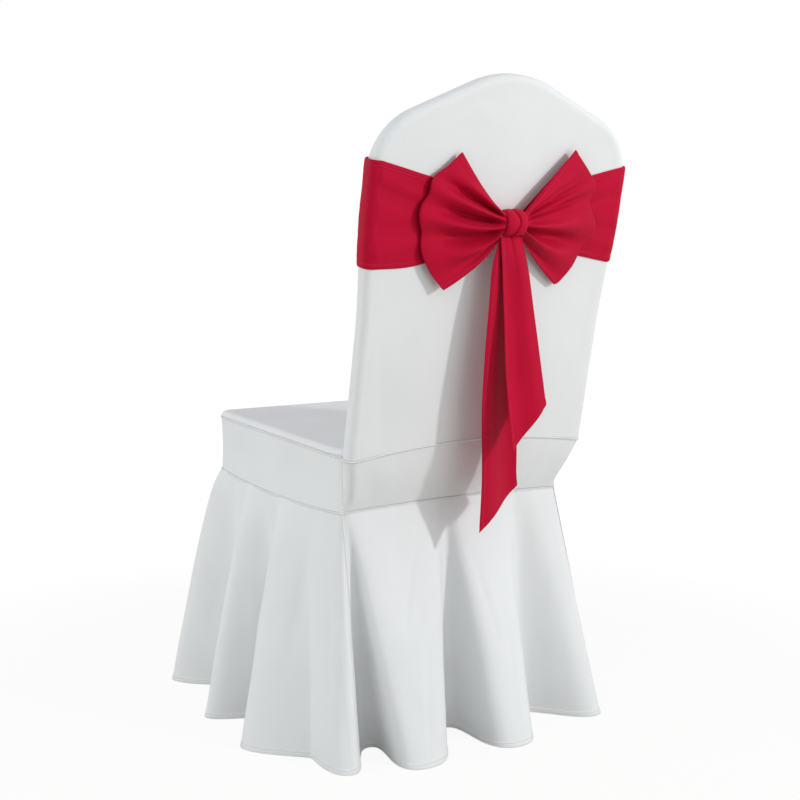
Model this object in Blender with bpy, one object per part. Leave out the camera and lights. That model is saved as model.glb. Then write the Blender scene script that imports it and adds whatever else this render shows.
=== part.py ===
"""Fitted banquet chair cover with a sash, bow and two tails, in the shape it hangs on a chair.

Everything is modelled about the floor centre of the chair: the floor at z = 0, the chair's back
towards +Y, +X on the sitter's left. The empty "floor_centre" then carries the pieces so that the
world's origin lies under the top of the hood, where the chair's back holds the cover up.
"""

import math

import bmesh
import bpy
from mathutils import Vector

# Driving dimensions in metres, angles in degrees.
KNIT = 0.0015            # thickness of the white cloth
SASH_KNIT = 0.0012       # thickness of the red cloth
SEAM_GAP = 0.0008        # left between the seat panel and its neighbours
SKIRT_SEAM_GAP = 0.00055 # between the strips and the skirt
HOOD_SEAM_GAP = 0.0010   # and between the hood and the rear strip
CLEARANCE = 0.0005       # left between two pieces that lie on each other
MERGE_DISTANCE = 0.00002 # points closer than this are one

# Plan of the seat, at its edge seam
SEAT_REAR_HALF = 0.200
SEAT_FRONT_HALF = 0.186
SEAT_REAR_Y = 0.200
SEAT_FRONT_Y = -0.271
REAR_CORNER_RADIUS = 0.012
FRONT_CORNER_RADIUS = 0.022
CORNER_STEPS = 4

# Heights of the two seams round the seat
SEAT_SEAM_REAR = 0.4515
SEAT_SEAM_FRONT = 0.4605
SEAT_ROLL = 0.0095       # how far the seat panel rises and reaches in from its edge seam
SEAT_TURN_REACH = 0.011  # half the length of seam that turns its edge round the corners
SEAT_ROLL_RINGS = ((0.0, 0.0), (0.0022, 0.0065), (SEAT_ROLL, SEAT_ROLL))
SEAT_TUCK = 0.0045       # its rear corners draw in this far beside the back
SEAT_SIDE_STEPS = 7
SEAT_FRONT_STEPS = 8
APRON_ROWS = 3
APRON_REAR_STEPS = 12
APRON_WRAP_STEP = 0.004  # spacing along the lower seam of the columns that wrap the corner
APRON_SEAM_HALF = 0.00045
APRON_SWELL = 0.004      # the rear strip swells out this far between its seams
SKIRT_SEAM = 0.3685
SKIRT_SEAM_SAG = 0.0105  # the seam droops this far between the corners of a side
SKIRT_SEAM_ARCH = 0.0045 # and rises this far at the rear

# The back, which leans towards +Y
BACK_FOOT = Vector((-0.006, 0.2394, 0.455))
BACK_LEAN = 11.85
BACK_DEPTH = 0.030
BACK_EDGE_RADIUS = 0.011
BACK_LOW_HALF = 0.2130
BACK_HIGH_HALF = 0.2215
BACK_WIDENS_FROM = 0.18
BACK_WIDENS_TO = 0.36
SHOULDER_RADIUS = 0.100
SHOULDER_UP = 0.4076     # height of the shoulder arc's centre, along the back
CROWN_SLOPE = 23.6
CROWN_RADIUS = 0.165
BACK_BULGE = 0.003       # the rear face swells out this far at its middle
BACK_BULGE_TOP = 0.46
HOOD_SEAM_ARCH = 0.0165  # the hood's lower seam rises this far at the middle of the rear
HOOD_SEAM_LOW = 0.4515
SIDE_STEPS = 7
SHOULDER_STEPS = 6
CROWN_STEPS = 6
EDGE_STEPS = 2

# Skirt
SKIRT_MEAN_FLARE = 0.045
VALLEY_SPRING = 1.05     # the power of the drop with which a valley deepens
SKIRT_DROPS = (0.0, 0.07, 0.17, 0.34, 0.62, 1.0)
HEM_LIFT = 0.003         # the hem hangs this far off the floor in the deepest valleys
HEM_LIFT_REACH = 0.08    # and rests where it flares further out than this
COLUMN_MIN = 0.002
CORNER_SEAM_HALF = 0.0008
FOLD_STEPS = 5           # columns from a valley to the next crest
FOLD_EVENNESS = 0.15     # share of a fold's side that runs out evenly from seam to hem
OUTLOOK = 0.055          # half the length of seam whose chord gives the outward direction

# One row for each fold, from the middle of the rear round the +X side. First its crest: x, y, the
# way it points in degrees from +X, its breadth, its place along the seam, the power of the drop
# with which it springs out (a low one swells just under the seam), and how the cloth's width is
# shared out before and after it (below 0 most of it goes to the crest, above 0 to the valley).
# Then the valley after it: x, y, the way it points, its breadth, its place along the seam.
FOLDS = (
    (0.122, 0.319, 90, 0.220, 0.075, 1.10, -2.1, -10.0, 0.158, 0.205, 90, 0.110, 0.192),
    (0.234, 0.281, 75, 0.100, 0.235, 0.95, -2.5, -0.5, 0.251, 0.194, 5, 0.030, 0.300),
    (0.322, 0.100, 0, 0.110, 0.405, 0.70, -0.5, 0.7, 0.207, 0.022, 0, 0.080, 0.455),
    (0.315, -0.052, -2, 0.090, 0.530, 0.66, -0.5, 0.7, 0.205, -0.150, 0, 0.060, 0.585),
    (0.284, -0.266, -38, 0.120, 0.652, 0.42, -0.3, 0.4, 0.148, -0.279, -90, 0.060, 0.732),
    (0.083, -0.374, -92, 0.110, 0.788, 0.75, 0.4, 0.4, 0.020, -0.277, -90, 0.060, 0.848),
    (-0.068, -0.366, -87, 0.110, 0.912, 0.75, 0.4, 0.4, -0.146, -0.278, -90, 0.060, 0.972),
    (-0.268, -0.296, -140, 0.115, 1.046, 0.70, 0.3, 0.3, -0.203, -0.162, 180, 0.050, 1.134),
    (-0.304, -0.092, 178, 0.100, 1.202, 0.75, 0.4, 0.4, -0.206, -0.012, 180, 0.060, 1.260),
    (-0.311, 0.070, 180, 0.110, 1.335, 0.80, 0.4, 0.4, -0.210, 0.150, 178, 0.040, 1.408),
    (-0.233, 0.277, 112, 0.120, 1.510, 0.95, 0.2, -1.0, -0.125, 0.204, 90, 0.085, 1.568),
    (-0.042, 0.321, 90, 0.200, 1.640, 1.00, -2.5, -4.0, 0.016, 0.200, 90, 0.110, 1.7017),
)

# Sash band: share of the back's half width, its lower and its upper edge along the back
BAND_LEFT = (
    (0.00, 0.3320, 0.3600), (0.12, 0.3285, 0.3650), (0.54, 0.2925, 0.4050),
    (0.74, 0.2830, 0.4165), (1.00, 0.2805, 0.4300),
)
BAND_RIGHT = (
    (0.00, 0.3320, 0.3600), (0.25, 0.3220, 0.3700), (0.60, 0.3010, 0.4080),
    (0.80, 0.2930, 0.4200), (1.00, 0.2855, 0.4300),
)
BAND_ROWS = 4
BAND_REAR_STEPS = 20
BAND_FRONT_STEPS = 8
BAND_CORNER_STEPS = 2

# Knot, in the back's own frame
KNOT_ACROSS = -0.0090
KNOT_UP = 0.3500
KNOT_HALF_LENGTH = 0.0179
KNOT_HALF_HEIGHT = 0.0195
KNOT_HALF_DEPTH = 0.0185
KNOT_PINCH = 0.07        # its ends are this share slimmer
KNOT_TURNS = 20
KNOT_STEPS = 5

# Bow loops, whose ribs fan out from the bow's middle
BOW_ACROSS = -0.0036
LEFT_START = (-0.0017, 0.0130)   # from the bow's middle: the ends in the knot, the knot's end
RIGHT_START = (0.0081, 0.0238)
LOOP_NECK_HALF = 0.0155
LOOP_PUFF_NECK = 0.0128  # half the depth between its two layers, at the knot and at its fold
LOOP_PUFF_RIM = 0.0055
LOOP_EDGE_PINCH = 0.90   # how much its layers close up towards its long edges
LOOP_FACING_POWER = 0.4  # a low power makes the fold at its end blunter
LOOP_TURNS = (0, 6, 14, 24, 37, 51, 65, 78, 90, 102, 115, 129, 143, 156, 166, 174, 180)
LOOP_MOUTH = 6           # up to this turn the loop is still inside the knot
LOOP_SPREAD_STEPS = 12

# The outer edge of each loop: the angle from level in degrees, the reach from the bow's middle
# and how far out from the back it lies
LEFT_REACH = (
    (-45.5, 0.1365, 0.0235), (-38.2, 0.1381, 0.0200), (-23.6, 0.1415, 0.0150),
    (-16.2, 0.1420, 0.0135), (-7.2, 0.1381, 0.0135), (-0.8, 0.1434, 0.0135),
    (4.1, 0.1460, 0.0135), (9.3, 0.1436, 0.0135), (15.5, 0.1389, 0.0130),
    (24.6, 0.1419, 0.0118), (36.2, 0.1315, 0.0098), (48.9, 0.1274, 0.0082),
)
RIGHT_REACH = (
    (-42.2, 0.1415, 0.0120), (-38.6, 0.1480, 0.0120), (-20.3, 0.1524, 0.0120),
    (-14.6, 0.1550, 0.0120), (-6.1, 0.1682, 0.0120), (-2.0, 0.1679, 0.0120),
    (2.8, 0.1626, 0.0120), (7.3, 0.1565, 0.0120), (11.7, 0.1543, 0.0120),
    (16.1, 0.1671, 0.0120), (20.6, 0.1678, 0.0120), (24.8, 0.1635, 0.0122),
    (33.7, 0.1561, 0.0124), (43.6, 0.1525, 0.0125),
)
# The power with which its two long edges fan out: upper, lower
LEFT_FAN = (1.25, 0.60)
RIGHT_FAN = (0.95, 0.80)
# Troughs that run out from the knot: the angle, the depth, the half width in degrees
LEFT_TROUGHS = ((23, 0.0065, 6.0), (7, 0.0060, 5.0), (-12, 0.0060, 6.0), (-30, 0.0040, 6.0))
RIGHT_TROUGHS = ((26, 0.0065, 6.0), (16, 0.0055, 5.0), (-17, 0.0065, 6.0), (-33, 0.0040, 6.0))

# Tails: z of a section, x of its +X edge and of its other edge, then y of each
SHORT_TAIL = (
    (0.7718, 0.0125, -0.0255, 0.3358, 0.3358),
    (0.7300, 0.0105, -0.0350, 0.3383, 0.3383),
    (0.6591, 0.0072, -0.0472, 0.3390, 0.3390),
    (0.5890, 0.0045, -0.0590, 0.3390, 0.3390),
    (0.5270, -0.0015, -0.0700, 0.3390, 0.3390),
    (0.4590, -0.0094, -0.0800, 0.3390, 0.3390),
)
SHORT_TAIL_CORNER = 0.5270   # the slanting cut starts here and ends at the tip
SHORT_TAIL_TIP = 0.4590
LONG_TAIL = (
    (0.7718, 0.0095, -0.0190, 0.3326, 0.3326),
    (0.7600, 0.0150, -0.0200, 0.3322, 0.3311),
    (0.7300, 0.0236, -0.0228, 0.3310, 0.3270),
    (0.6586, 0.0269, -0.0315, 0.3260, 0.3170),
    (0.5357, 0.0251, -0.0504, 0.3100, 0.2940),
    (0.4210, 0.0124, -0.0631, 0.2920, 0.2760),
    (0.3963, 0.0110, -0.0677, 0.2890, 0.2720),
    (0.3300, 0.0092, -0.0739, 0.2810, 0.2660),
)
LONG_TAIL_CORNER = 0.3950
LONG_TAIL_TIP = 0.3315
TAIL_FOLD = 0.0035       # depth of the soft fold along a tail
TAIL_STEPS = 6
TAIL_ROWS = 10
TAIL_GATHER = 0.06       # drop over which the fold starts
TAIL_TOP = 0.7718

# Where the top of the chair's back bears under the hood, from the floor centre of the chair
CHAIR_TOP = Vector((0.0, 0.3384, 0.9990))

LEAN = math.radians(BACK_LEAN)
BACK_UP = Vector((0.0, math.sin(LEAN), math.cos(LEAN)))
BACK_OUT = Vector((0.0, math.cos(LEAN), -math.sin(LEAN)))
CROWN_TURN = math.radians(90.0 - CROWN_SLOPE)


def mix(a, b, share):
    return a + (b - a) * share


def ease(share):
    share = min(max(share, 0.0), 1.0)
    return share * share * (3.0 - 2.0 * share)


def cubic(start, start_pull, end, end_pull, share):
    """Point on the cubic between two ends with the given pulls."""
    square, cube = share * share, share ** 3
    return (
        start * (2 * cube - 3 * square + 1)
        + start_pull * (cube - 2 * square + share)
        + end * (3 * square - 2 * cube)
        + end_pull * (cube - square)
    )


def read_table(rows, place):
    """Values beside a place in a table's first column, straight between its rows."""
    for lower, upper in zip(rows, rows[1:]):
        if min(lower[0], upper[0]) <= place <= max(lower[0], upper[0]):
            share = (place - lower[0]) / (upper[0] - lower[0])
            return [mix(a, b, share) for a, b in zip(lower[1:], upper[1:])]
    nearest = min(rows, key=lambda row: abs(row[0] - place))
    return list(nearest[1:])


def fill_grid(left, top, right, bottom):
    """Rows of points, from the top down, blended from four edges. Left and right run upwards."""
    rows, columns = len(left) - 1, len(top) - 1
    grid = []
    for row in range(rows, -1, -1):
        v = row / rows
        points = []
        for column in range(columns + 1):
            u = column / columns
            sides = left[row].lerp(right[row], u)
            ends = bottom[column].lerp(top[column], v)
            corners = left[0].lerp(right[0], u).lerp(left[-1].lerp(right[-1], u), v)
            points.append(sides + ends - corners)
        grid.append(points)
    return grid


def make_material(name, colour, roughness):
    material = bpy.data.materials.new(name)
    material.use_nodes = True
    shader = material.node_tree.nodes["Principled BSDF"]
    shader.inputs["Base Color"].default_value = (*colour, 1.0)
    shader.inputs["Roughness"].default_value = roughness
    shader.inputs["Metallic"].default_value = 0.0
    return material


def add_sheet(name, grids, material, thickness, closed=False, grow=-1.0):
    """Skin grids of points and thicken them into one sheet.

    As its outer side is seen, a grid's rows run down and its columns run to the left. Grids
    that meet share their edges. The thickness goes inwards with grow -1, outwards with grow 1.
    """
    bm = bmesh.new()
    for rows in grids:
        verts = [[bm.verts.new(point) for point in row] for row in rows]
        columns = len(rows[0])
        for upper, lower in zip(verts, verts[1:]):
            for i in range(columns if closed else columns - 1):
                j = (i + 1) % columns
                bm.faces.new((upper[i], upper[j], lower[j], lower[i]))
    bmesh.ops.remove_doubles(bm, verts=bm.verts, dist=MERGE_DISTANCE)
    mesh = bpy.data.meshes.new(name)
    bm.to_mesh(mesh)
    bm.free()
    mesh.materials.append(material)
    mesh.shade_smooth()
    piece = bpy.data.objects.new(name, mesh)
    bpy.context.collection.objects.link(piece)
    solidify = piece.modifiers.new("thickness", "SOLIDIFY")
    solidify.thickness = thickness
    solidify.offset = grow
    solidify.use_even_offset = True
    solidify.use_quality_normals = True
    return piece


# Plan of the seat


def seat_outline():
    """Rounded outline of the seat, from the middle of the rear round the +X side."""
    corners = (
        (Vector((SEAT_REAR_HALF, SEAT_REAR_Y)), REAR_CORNER_RADIUS),
        (Vector((SEAT_FRONT_HALF, SEAT_FRONT_Y)), FRONT_CORNER_RADIUS),
        (Vector((-SEAT_FRONT_HALF, SEAT_FRONT_Y)), FRONT_CORNER_RADIUS),
        (Vector((-SEAT_REAR_HALF, SEAT_REAR_Y)), REAR_CORNER_RADIUS),
    )
    outline = [Vector((0.0, SEAT_REAR_Y))]
    for number, (corner, radius) in enumerate(corners):
        before = (corners[number - 1][0] - corner).normalized()
        after = (corners[(number + 1) % len(corners)][0] - corner).normalized()
        half_angle = before.angle(after) / 2.0
        reach = radius / math.tan(half_angle)
        middle = corner + (before + after).normalized() * (radius / math.sin(half_angle))
        first = corner + before * reach - middle
        last = corner + after * reach - middle
        sweep = first.angle(last)
        for step in range(CORNER_STEPS + 1):
            turn = sweep * step / CORNER_STEPS
            spoke = (first * math.sin(sweep - turn) + last * math.sin(turn)) / math.sin(sweep)
            outline.append(middle + spoke)
    return outline


def lengths_along(outline):
    lengths = [0.0]
    for a, b in zip(outline, outline[1:] + outline[:1]):
        lengths.append(lengths[-1] + (b - a).length)
    return lengths


OUTLINE = seat_outline()
LENGTHS = lengths_along(OUTLINE)
ROUND = LENGTHS[-1]
CORNER_STATION = LENGTHS[1 + CORNER_STEPS // 2]
SIDE_STATION = LENGTHS[1 + CORNER_STEPS]
FRONT_CORNER_STATIONS = LENGTHS[2 + CORNER_STEPS: 3 + 2 * CORNER_STEPS]


def place_on_seam(station):
    """Point of the seat's outline at a distance along it."""
    station = station % ROUND
    for i, point in enumerate(OUTLINE):
        if station <= LENGTHS[i + 1]:
            share = (station - LENGTHS[i]) / (LENGTHS[i + 1] - LENGTHS[i])
            return point.lerp(OUTLINE[(i + 1) % len(OUTLINE)], share)
    return OUTLINE[0].copy()


def outward(station, reach=OUTLOOK):
    """Level direction away from the seat, turning slowly round the corners."""
    chord = place_on_seam(station + reach) - place_on_seam(station - reach)
    return Vector((-chord.y, chord.x)).normalized()


def stations_round_front(first):
    """Stations from one on the +X side round the front to its mirror image."""
    side = [mix(first, FRONT_CORNER_STATIONS[0], i / SEAT_SIDE_STEPS) for i in range(SEAT_SIDE_STEPS)]
    half = side + FRONT_CORNER_STATIONS
    start, end = half[-1], ROUND - half[-1]
    front = [mix(start, end, i / SEAT_FRONT_STEPS) for i in range(1, SEAT_FRONT_STEPS)]
    return half + front + [ROUND - station for station in reversed(half)]


def seat_seam_height(y):
    return mix(SEAT_SEAM_FRONT, SEAT_SEAM_REAR, (y - SEAT_FRONT_Y) / (SEAT_REAR_Y - SEAT_FRONT_Y))


def skirt_seam_height(point):
    """The seam droops between the corners of a side and rises a little at the rear."""
    along = (point.y - SEAT_FRONT_Y) / (SEAT_REAR_Y - SEAT_FRONT_Y)
    sag = SKIRT_SEAM_SAG * max(1.0 - (2.0 * along - 1.0) ** 2, 0.0)
    across = max(1.0 - (point.x / SEAT_REAR_HALF) ** 2, 0.0)
    return SKIRT_SEAM - sag + (SKIRT_SEAM_ARCH * across if along > 0.5 else 0.0)


# The back


def back_point(across, up, out):
    """Point from its place across, up along and out from the back's rear face."""
    return BACK_FOOT + Vector((across, 0.0, 0.0)) + BACK_UP * up + BACK_OUT * out


def up_at_height(z, out):
    """Distance along the back at which a point at this depth reaches a height."""
    return (z - BACK_FOOT.z - out * BACK_OUT.z) / BACK_UP.z


def back_half_width(up):
    widening = ease((up - BACK_WIDENS_FROM) / (BACK_WIDENS_TO - BACK_WIDENS_FROM))
    return mix(BACK_LOW_HALF, BACK_HIGH_HALF, widening)


def rear_bulge(across, up):
    """How far the cloth of the rear face swells out between its edges."""
    side = min(abs(across) / (back_half_width(up) - BACK_EDGE_RADIUS), 1.0)
    rise = min(max(up / BACK_BULGE_TOP, 0.0), 1.0)
    return BACK_BULGE * (1.0 - side ** 2) ** 2 * math.sin(math.pi * rise)


def hood_foot(across, out):
    """Where the hood's lower edge lies along the back: over the seat at the front wall."""
    if out <= -BACK_DEPTH:
        return up_at_height(SEAT_SEAM_REAR + SEAT_ROLL, out)
    side = across / (BACK_LOW_HALF - BACK_EDGE_RADIUS)
    return up_at_height(HOOD_SEAM_LOW + HOOD_SEAM_ARCH * max(1.0 - side ** 2, 0.0), out)


def hood_outline(inset, out):
    """Edge of the hood from its foot on +X over the crown to its other foot: (across, up)."""
    half = []
    foot = hood_foot(BACK_LOW_HALF, out)
    for step in range(SIDE_STEPS):
        up = mix(foot, SHOULDER_UP, step / SIDE_STEPS)
        half.append((back_half_width(up) - inset, up))
    shoulder = BACK_HIGH_HALF - SHOULDER_RADIUS
    radius = SHOULDER_RADIUS - inset
    for step in range(SHOULDER_STEPS + 1):
        turn = CROWN_TURN * step / SHOULDER_STEPS
        half.append((shoulder + radius * math.cos(turn), SHOULDER_UP + radius * math.sin(turn)))
    to_slope = shoulder * math.cos(CROWN_TURN) + SHOULDER_UP * math.sin(CROWN_TURN)
    crown_up = (to_slope + SHOULDER_RADIUS - CROWN_RADIUS) / math.sin(CROWN_TURN)
    radius = CROWN_RADIUS - inset
    for step in range(CROWN_STEPS // 2 + 1):
        turn = mix(CROWN_TURN, math.pi / 2.0, step / (CROWN_STEPS // 2))
        half.append((radius * math.cos(turn), crown_up + radius * math.sin(turn)))
    return half + [(-across, up) for across, up in reversed(half[:-1])]


def edge_rings():
    """Inset and depth of the rings that round the back's narrow edge, from rear to front."""
    rear, front = [], []
    for step in range(EDGE_STEPS + 1):
        turn = math.pi / 2.0 * step / EDGE_STEPS
        near, far = BACK_EDGE_RADIUS * (1 - math.sin(turn)), BACK_EDGE_RADIUS * (1 - math.cos(turn))
        rear.append((near, -far))
        front.append((near, far - BACK_DEPTH))
    return rear + front[::-1]


def hood_face(inset, out, swell=0.0):
    """Grid that fills the hood's outline at the rear or the front."""
    outline = [Vector(point) for point in hood_outline(inset, out)]
    corner = SIDE_STEPS + SHOULDER_STEPS // 2
    left, top, right = outline[:corner + 1], outline[corner:-corner], outline[-corner - 1:][::-1]
    across = [mix(left[0].x, right[0].x, i / (len(top) - 1)) for i in range(len(top))]
    bottom = [Vector((x, hood_foot(x, out))) for x in across]
    grid = fill_grid(left, top, right, bottom)
    return [[back_point(p.x, p.y, out + swell * rear_bulge(p.x, p.y)) for p in row] for row in grid]


def make_hood(material):
    rings = [
        [back_point(across, up, out) for across, up in hood_outline(inset, out)]
        for inset, out in edge_rings()
    ]
    rear = hood_face(BACK_EDGE_RADIUS, 0.0, swell=1.0)
    front = hood_face(BACK_EDGE_RADIUS, -BACK_DEPTH)
    return add_sheet("hood", (rings, [row[::-1] for row in rear], front), material, KNIT)


# Seat and apron


def make_seat_panel(material):
    """The seat's top, rolled down at the front and the sides to its edge seam."""
    stations = stations_round_front(SIDE_STATION)
    rings = []
    for inset, rise in SEAT_ROLL_RINGS:
        ring = []
        for station in stations:
            place = place_on_seam(station) - outward(station, SEAT_TURN_REACH) * inset
            ring.append(Vector((*place, seat_seam_height(place.y) + rise)))
        front_wall = back_point(0.0, up_at_height(SEAT_SEAM_REAR + rise, -BACK_DEPTH), -BACK_DEPTH)
        for end, side in ((0, 1.0), (-1, -1.0)):
            y = front_wall.y - SEAM_GAP
            ring[end] = Vector((side * (SEAT_REAR_HALF - SEAT_TUCK - inset), y, seat_seam_height(y) + rise))
        rings.append(ring)
    corner = SEAT_SIDE_STEPS + CORNER_STEPS // 2
    inner = rings[-1]
    left, top, right = inner[:corner + 1], inner[corner:-corner], inner[-corner - 1:][::-1]
    bottom = [left[0].lerp(right[0], i / (len(top) - 1)) for i in range(len(top))]
    inside = [row[::-1] for row in fill_grid(left, top, right, bottom)]
    return add_sheet("seat_panel", (rings[::-1], inside), material, KNIT)


def make_apron_front(material):
    stations = stations_round_front(CORNER_STATION + APRON_SEAM_HALF)
    rows = []
    for row in range(APRON_ROWS + 1):
        points = []
        for station in stations:
            place = place_on_seam(station)
            top = seat_seam_height(place.y) - SEAM_GAP
            bottom = skirt_seam_height(place) + SKIRT_SEAM_GAP / 2
            points.append(Vector((*place, mix(top, bottom, row / APRON_ROWS))))
        rows.append(points)
    return add_sheet("apron_front", (rows,), material, KNIT)


def make_apron_rear(material):
    """Runs from the hood's foot down and in to the seam at the seat's rear rail."""
    wrap = [Vector((back_half_width(0.0) - inset, out)) for inset, out in edge_rings()[-2:0:-1]]
    side = back_half_width(0.0) - BACK_EDGE_RADIUS
    middle = [Vector((mix(side, -side, i / APRON_REAR_STEPS), 0.0)) for i in range(APRON_REAR_STEPS + 1)]
    other_wrap = [Vector((-point.x, point.y)) for point in reversed(wrap)]
    hood_edge = [back_point(p.x, hood_foot(p.x, p.y), p.y) for p in wrap + middle + other_wrap]
    seam_station = CORNER_STATION - APRON_SEAM_HALF
    corner = place_on_seam(seam_station)
    top = [Vector((corner.x, corner.y, SEAT_SEAM_REAR))]
    top += hood_edge
    top += [Vector((-corner.x, corner.y, SEAT_SEAM_REAR))]
    half_count = len(wrap) + 1
    inner_station = seam_station - APRON_WRAP_STEP * half_count
    stations = [seam_station - APRON_WRAP_STEP * i for i in range(half_count)]
    stations += [
        mix(inner_station, -inner_station, i / APRON_REAR_STEPS) for i in range(APRON_REAR_STEPS + 1)
    ]
    stations += [-station for station in reversed(stations[:half_count])]
    rows = []
    for row in range(APRON_ROWS + 1):
        share = row / APRON_ROWS
        points = []
        for high, station in zip(top, stations):
            place = place_on_seam(station)
            low = Vector((*place, skirt_seam_height(place) + SKIRT_SEAM_GAP / 2))
            point = (high - Vector((0.0, 0.0, HOOD_SEAM_GAP))).lerp(low, share)
            if abs(station) < seam_station:
                point.y += APRON_SWELL * math.sin(math.pi * share)
            points.append(point)
        rows.append(points[::-1])
    return add_sheet("apron_rear", (rows,), material, KNIT)


# Skirt


def hem_knots():
    """Every crest and valley in turn: station, place, pull along the hem, spring, widths."""
    knots = []
    for row in FOLDS:
        for x, y, aim, breadth, station, *shape in (row[:8], row[8:] + (VALLEY_SPRING, 0.0, 0.0)):
            turn = math.radians(aim)
            pull = Vector((math.sin(turn), -math.cos(turn))) * breadth
            knots.append((station, Vector((x, y)), pull, *shape))
    first, last = knots[0], knots[-1]
    return [(last[0] - ROUND, *last[1:])] + knots + [(first[0] + ROUND, *first[1:])]


HEM_KNOTS = hem_knots()


def width_power(low_knot, high_knot):
    """Power of the place along a fold's side, and whether most of its run comes first."""
    early = low_knot[-1] > 0.0 or high_knot[-2] < 0.0
    return 1.0 + abs(low_knot[-1] + high_knot[-2]), early


def hem_place(station):
    """Point of the hem that shapes a place on the seam, and the power with which it springs."""
    start = HEM_KNOTS[0][0]
    station = start + (station - start) % ROUND
    for low, high in zip(HEM_KNOTS, HEM_KNOTS[1:]):
        if low[0] <= station <= high[0]:
            share = (station - low[0]) / (high[0] - low[0])
            power, early = width_power(low, high)
            drawn = 1.0 - (1.0 - share) ** power if early else share ** power
            share = mix(drawn, share, FOLD_EVENNESS)
            return cubic(low[1], low[2], high[1], high[2], share), mix(low[3], high[3], share)
    return HEM_KNOTS[-1][1].copy(), VALLEY_SPRING


def hem_stretch(station):
    """How many times wider the cloth is at the hem than at its seam, beside a side seam."""
    before, after = (hem_place(station + turn * CORNER_SEAM_HALF)[0] for turn in (-1.0, 1.0))
    return (after - before).length / (2.0 * CORNER_SEAM_HALF)


def skirt_stations(first, last):
    """Stations from one to another, with every crest and valley between them."""
    stations = [first]
    for turn in (-ROUND, 0.0, ROUND):
        for low, high in zip(HEM_KNOTS[:-1], HEM_KNOTS[1:-1]):
            power, early = width_power(low, high)
            for step in range(1, FOLD_STEPS + 1):
                share = step / FOLD_STEPS
                share = 1.0 - (1.0 - share) ** (1.0 / power) if early else share ** (1.0 / power)
                station = mix(low[0], high[0], share) + turn
                if first + COLUMN_MIN < station < last - COLUMN_MIN:
                    stations.append(station)
    return sorted(stations + [last])


def make_skirt(name, first, last, material):
    rows = []
    for drop in SKIRT_DROPS:
        points = []
        for station in skirt_stations(first, last):
            if station in (first, last):
                outwards = CORNER_SEAM_HALF if station == last else -CORNER_SEAM_HALF
                widened = 1.0 + (hem_stretch(station + outwards) - 1.0) * drop
                station += outwards * (1.0 - 1.0 / widened)
            seam = place_on_seam(station)
            hem, spring = hem_place(station)
            mean = seam + outward(station) * SKIRT_MEAN_FLARE
            place = seam.lerp(mean, drop) + (hem - mean) * drop ** spring
            top = skirt_seam_height(seam) - SKIRT_SEAM_GAP / 2
            foot = HEM_LIFT * max(1.0 - (hem - seam).length / HEM_LIFT_REACH, 0.0)
            points.append(Vector((*place, mix(top, foot, drop))))
        rows.append(points)
    return add_sheet(name, (rows,), material, KNIT)


# Sash and bow


def band_ring():
    """Round the back as seen from the rear, from -X: side, centre's depth, direction, step."""
    ring = []
    for step in range(BAND_REAR_STEPS + 1):
        ring.append((2.0 * step / BAND_REAR_STEPS - 1.0, -BACK_EDGE_RADIUS, 90.0))
    corners = ((1.0, -BACK_EDGE_RADIUS, 90.0), (1.0, BACK_EDGE_RADIUS - BACK_DEPTH, 0.0))
    for side, centre, start in corners:
        first = 1 if start else 0
        for step in range(first, BAND_CORNER_STEPS + 1):
            ring.append((side, centre, start - 90.0 * step / BAND_CORNER_STEPS))
    for step in range(1, BAND_FRONT_STEPS + 1):
        ring.append((1.0 - 2.0 * step / BAND_FRONT_STEPS, BACK_EDGE_RADIUS - BACK_DEPTH, -90.0))
    for centre, start in ((BACK_EDGE_RADIUS - BACK_DEPTH, -90.0), (-BACK_EDGE_RADIUS, -180.0)):
        first = 1 if start == -90.0 else 0
        last = BAND_CORNER_STEPS if start == -180.0 else BAND_CORNER_STEPS + 1
        for step in range(first, last):
            ring.append((-1.0, centre, start - 90.0 * step / BAND_CORNER_STEPS))
    return ring


def make_band(material):
    radius = BACK_EDGE_RADIUS + CLEARANCE
    rows = []
    for row in range(BAND_ROWS + 1):
        points = []
        for side, centre, turn in band_ring():
            behind = centre == -BACK_EDGE_RADIUS and turn == 90.0
            shape = read_table(BAND_LEFT if side > 0.0 else BAND_RIGHT, abs(side) if behind else 1.0)
            up = mix(shape[1], shape[0], row / BAND_ROWS)
            angle = math.radians(turn)
            across = side * (back_half_width(up) - BACK_EDGE_RADIUS)
            out = centre + radius * math.sin(angle)
            if behind:
                out += rear_bulge(across, up)
            points.append(back_point(across + radius * math.cos(angle), up, out))
        rows.append(points)
    return add_sheet("sash_band", (rows,), material, SASH_KNIT, closed=True, grow=1.0)


# The knot's back clears the band, which stands CLEARANCE off the back
KNOT_OUT = BACK_BULGE + SASH_KNIT + KNOT_HALF_DEPTH


def make_knot(material):
    """A strip wrapped round the middle of the bow, fuller at its middle than at its ends."""
    rows = []
    for step in range(KNOT_STEPS + 1):
        side = 1.0 - 2.0 * step / KNOT_STEPS
        girth = 1.0 - KNOT_PINCH * side ** 2
        points = []
        for turn in range(KNOT_TURNS):
            angle = 2.0 * math.pi * turn / KNOT_TURNS
            up = KNOT_UP + girth * KNOT_HALF_HEIGHT * math.cos(angle)
            out = KNOT_OUT + girth * KNOT_HALF_DEPTH * math.sin(angle)
            points.append(back_point(KNOT_ACROSS + side * KNOT_HALF_LENGTH - BACK_FOOT.x, up, out))
        rows.append(points)
    return add_sheet("bow_knot", (rows,), material, SASH_KNIT, closed=True)


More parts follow.
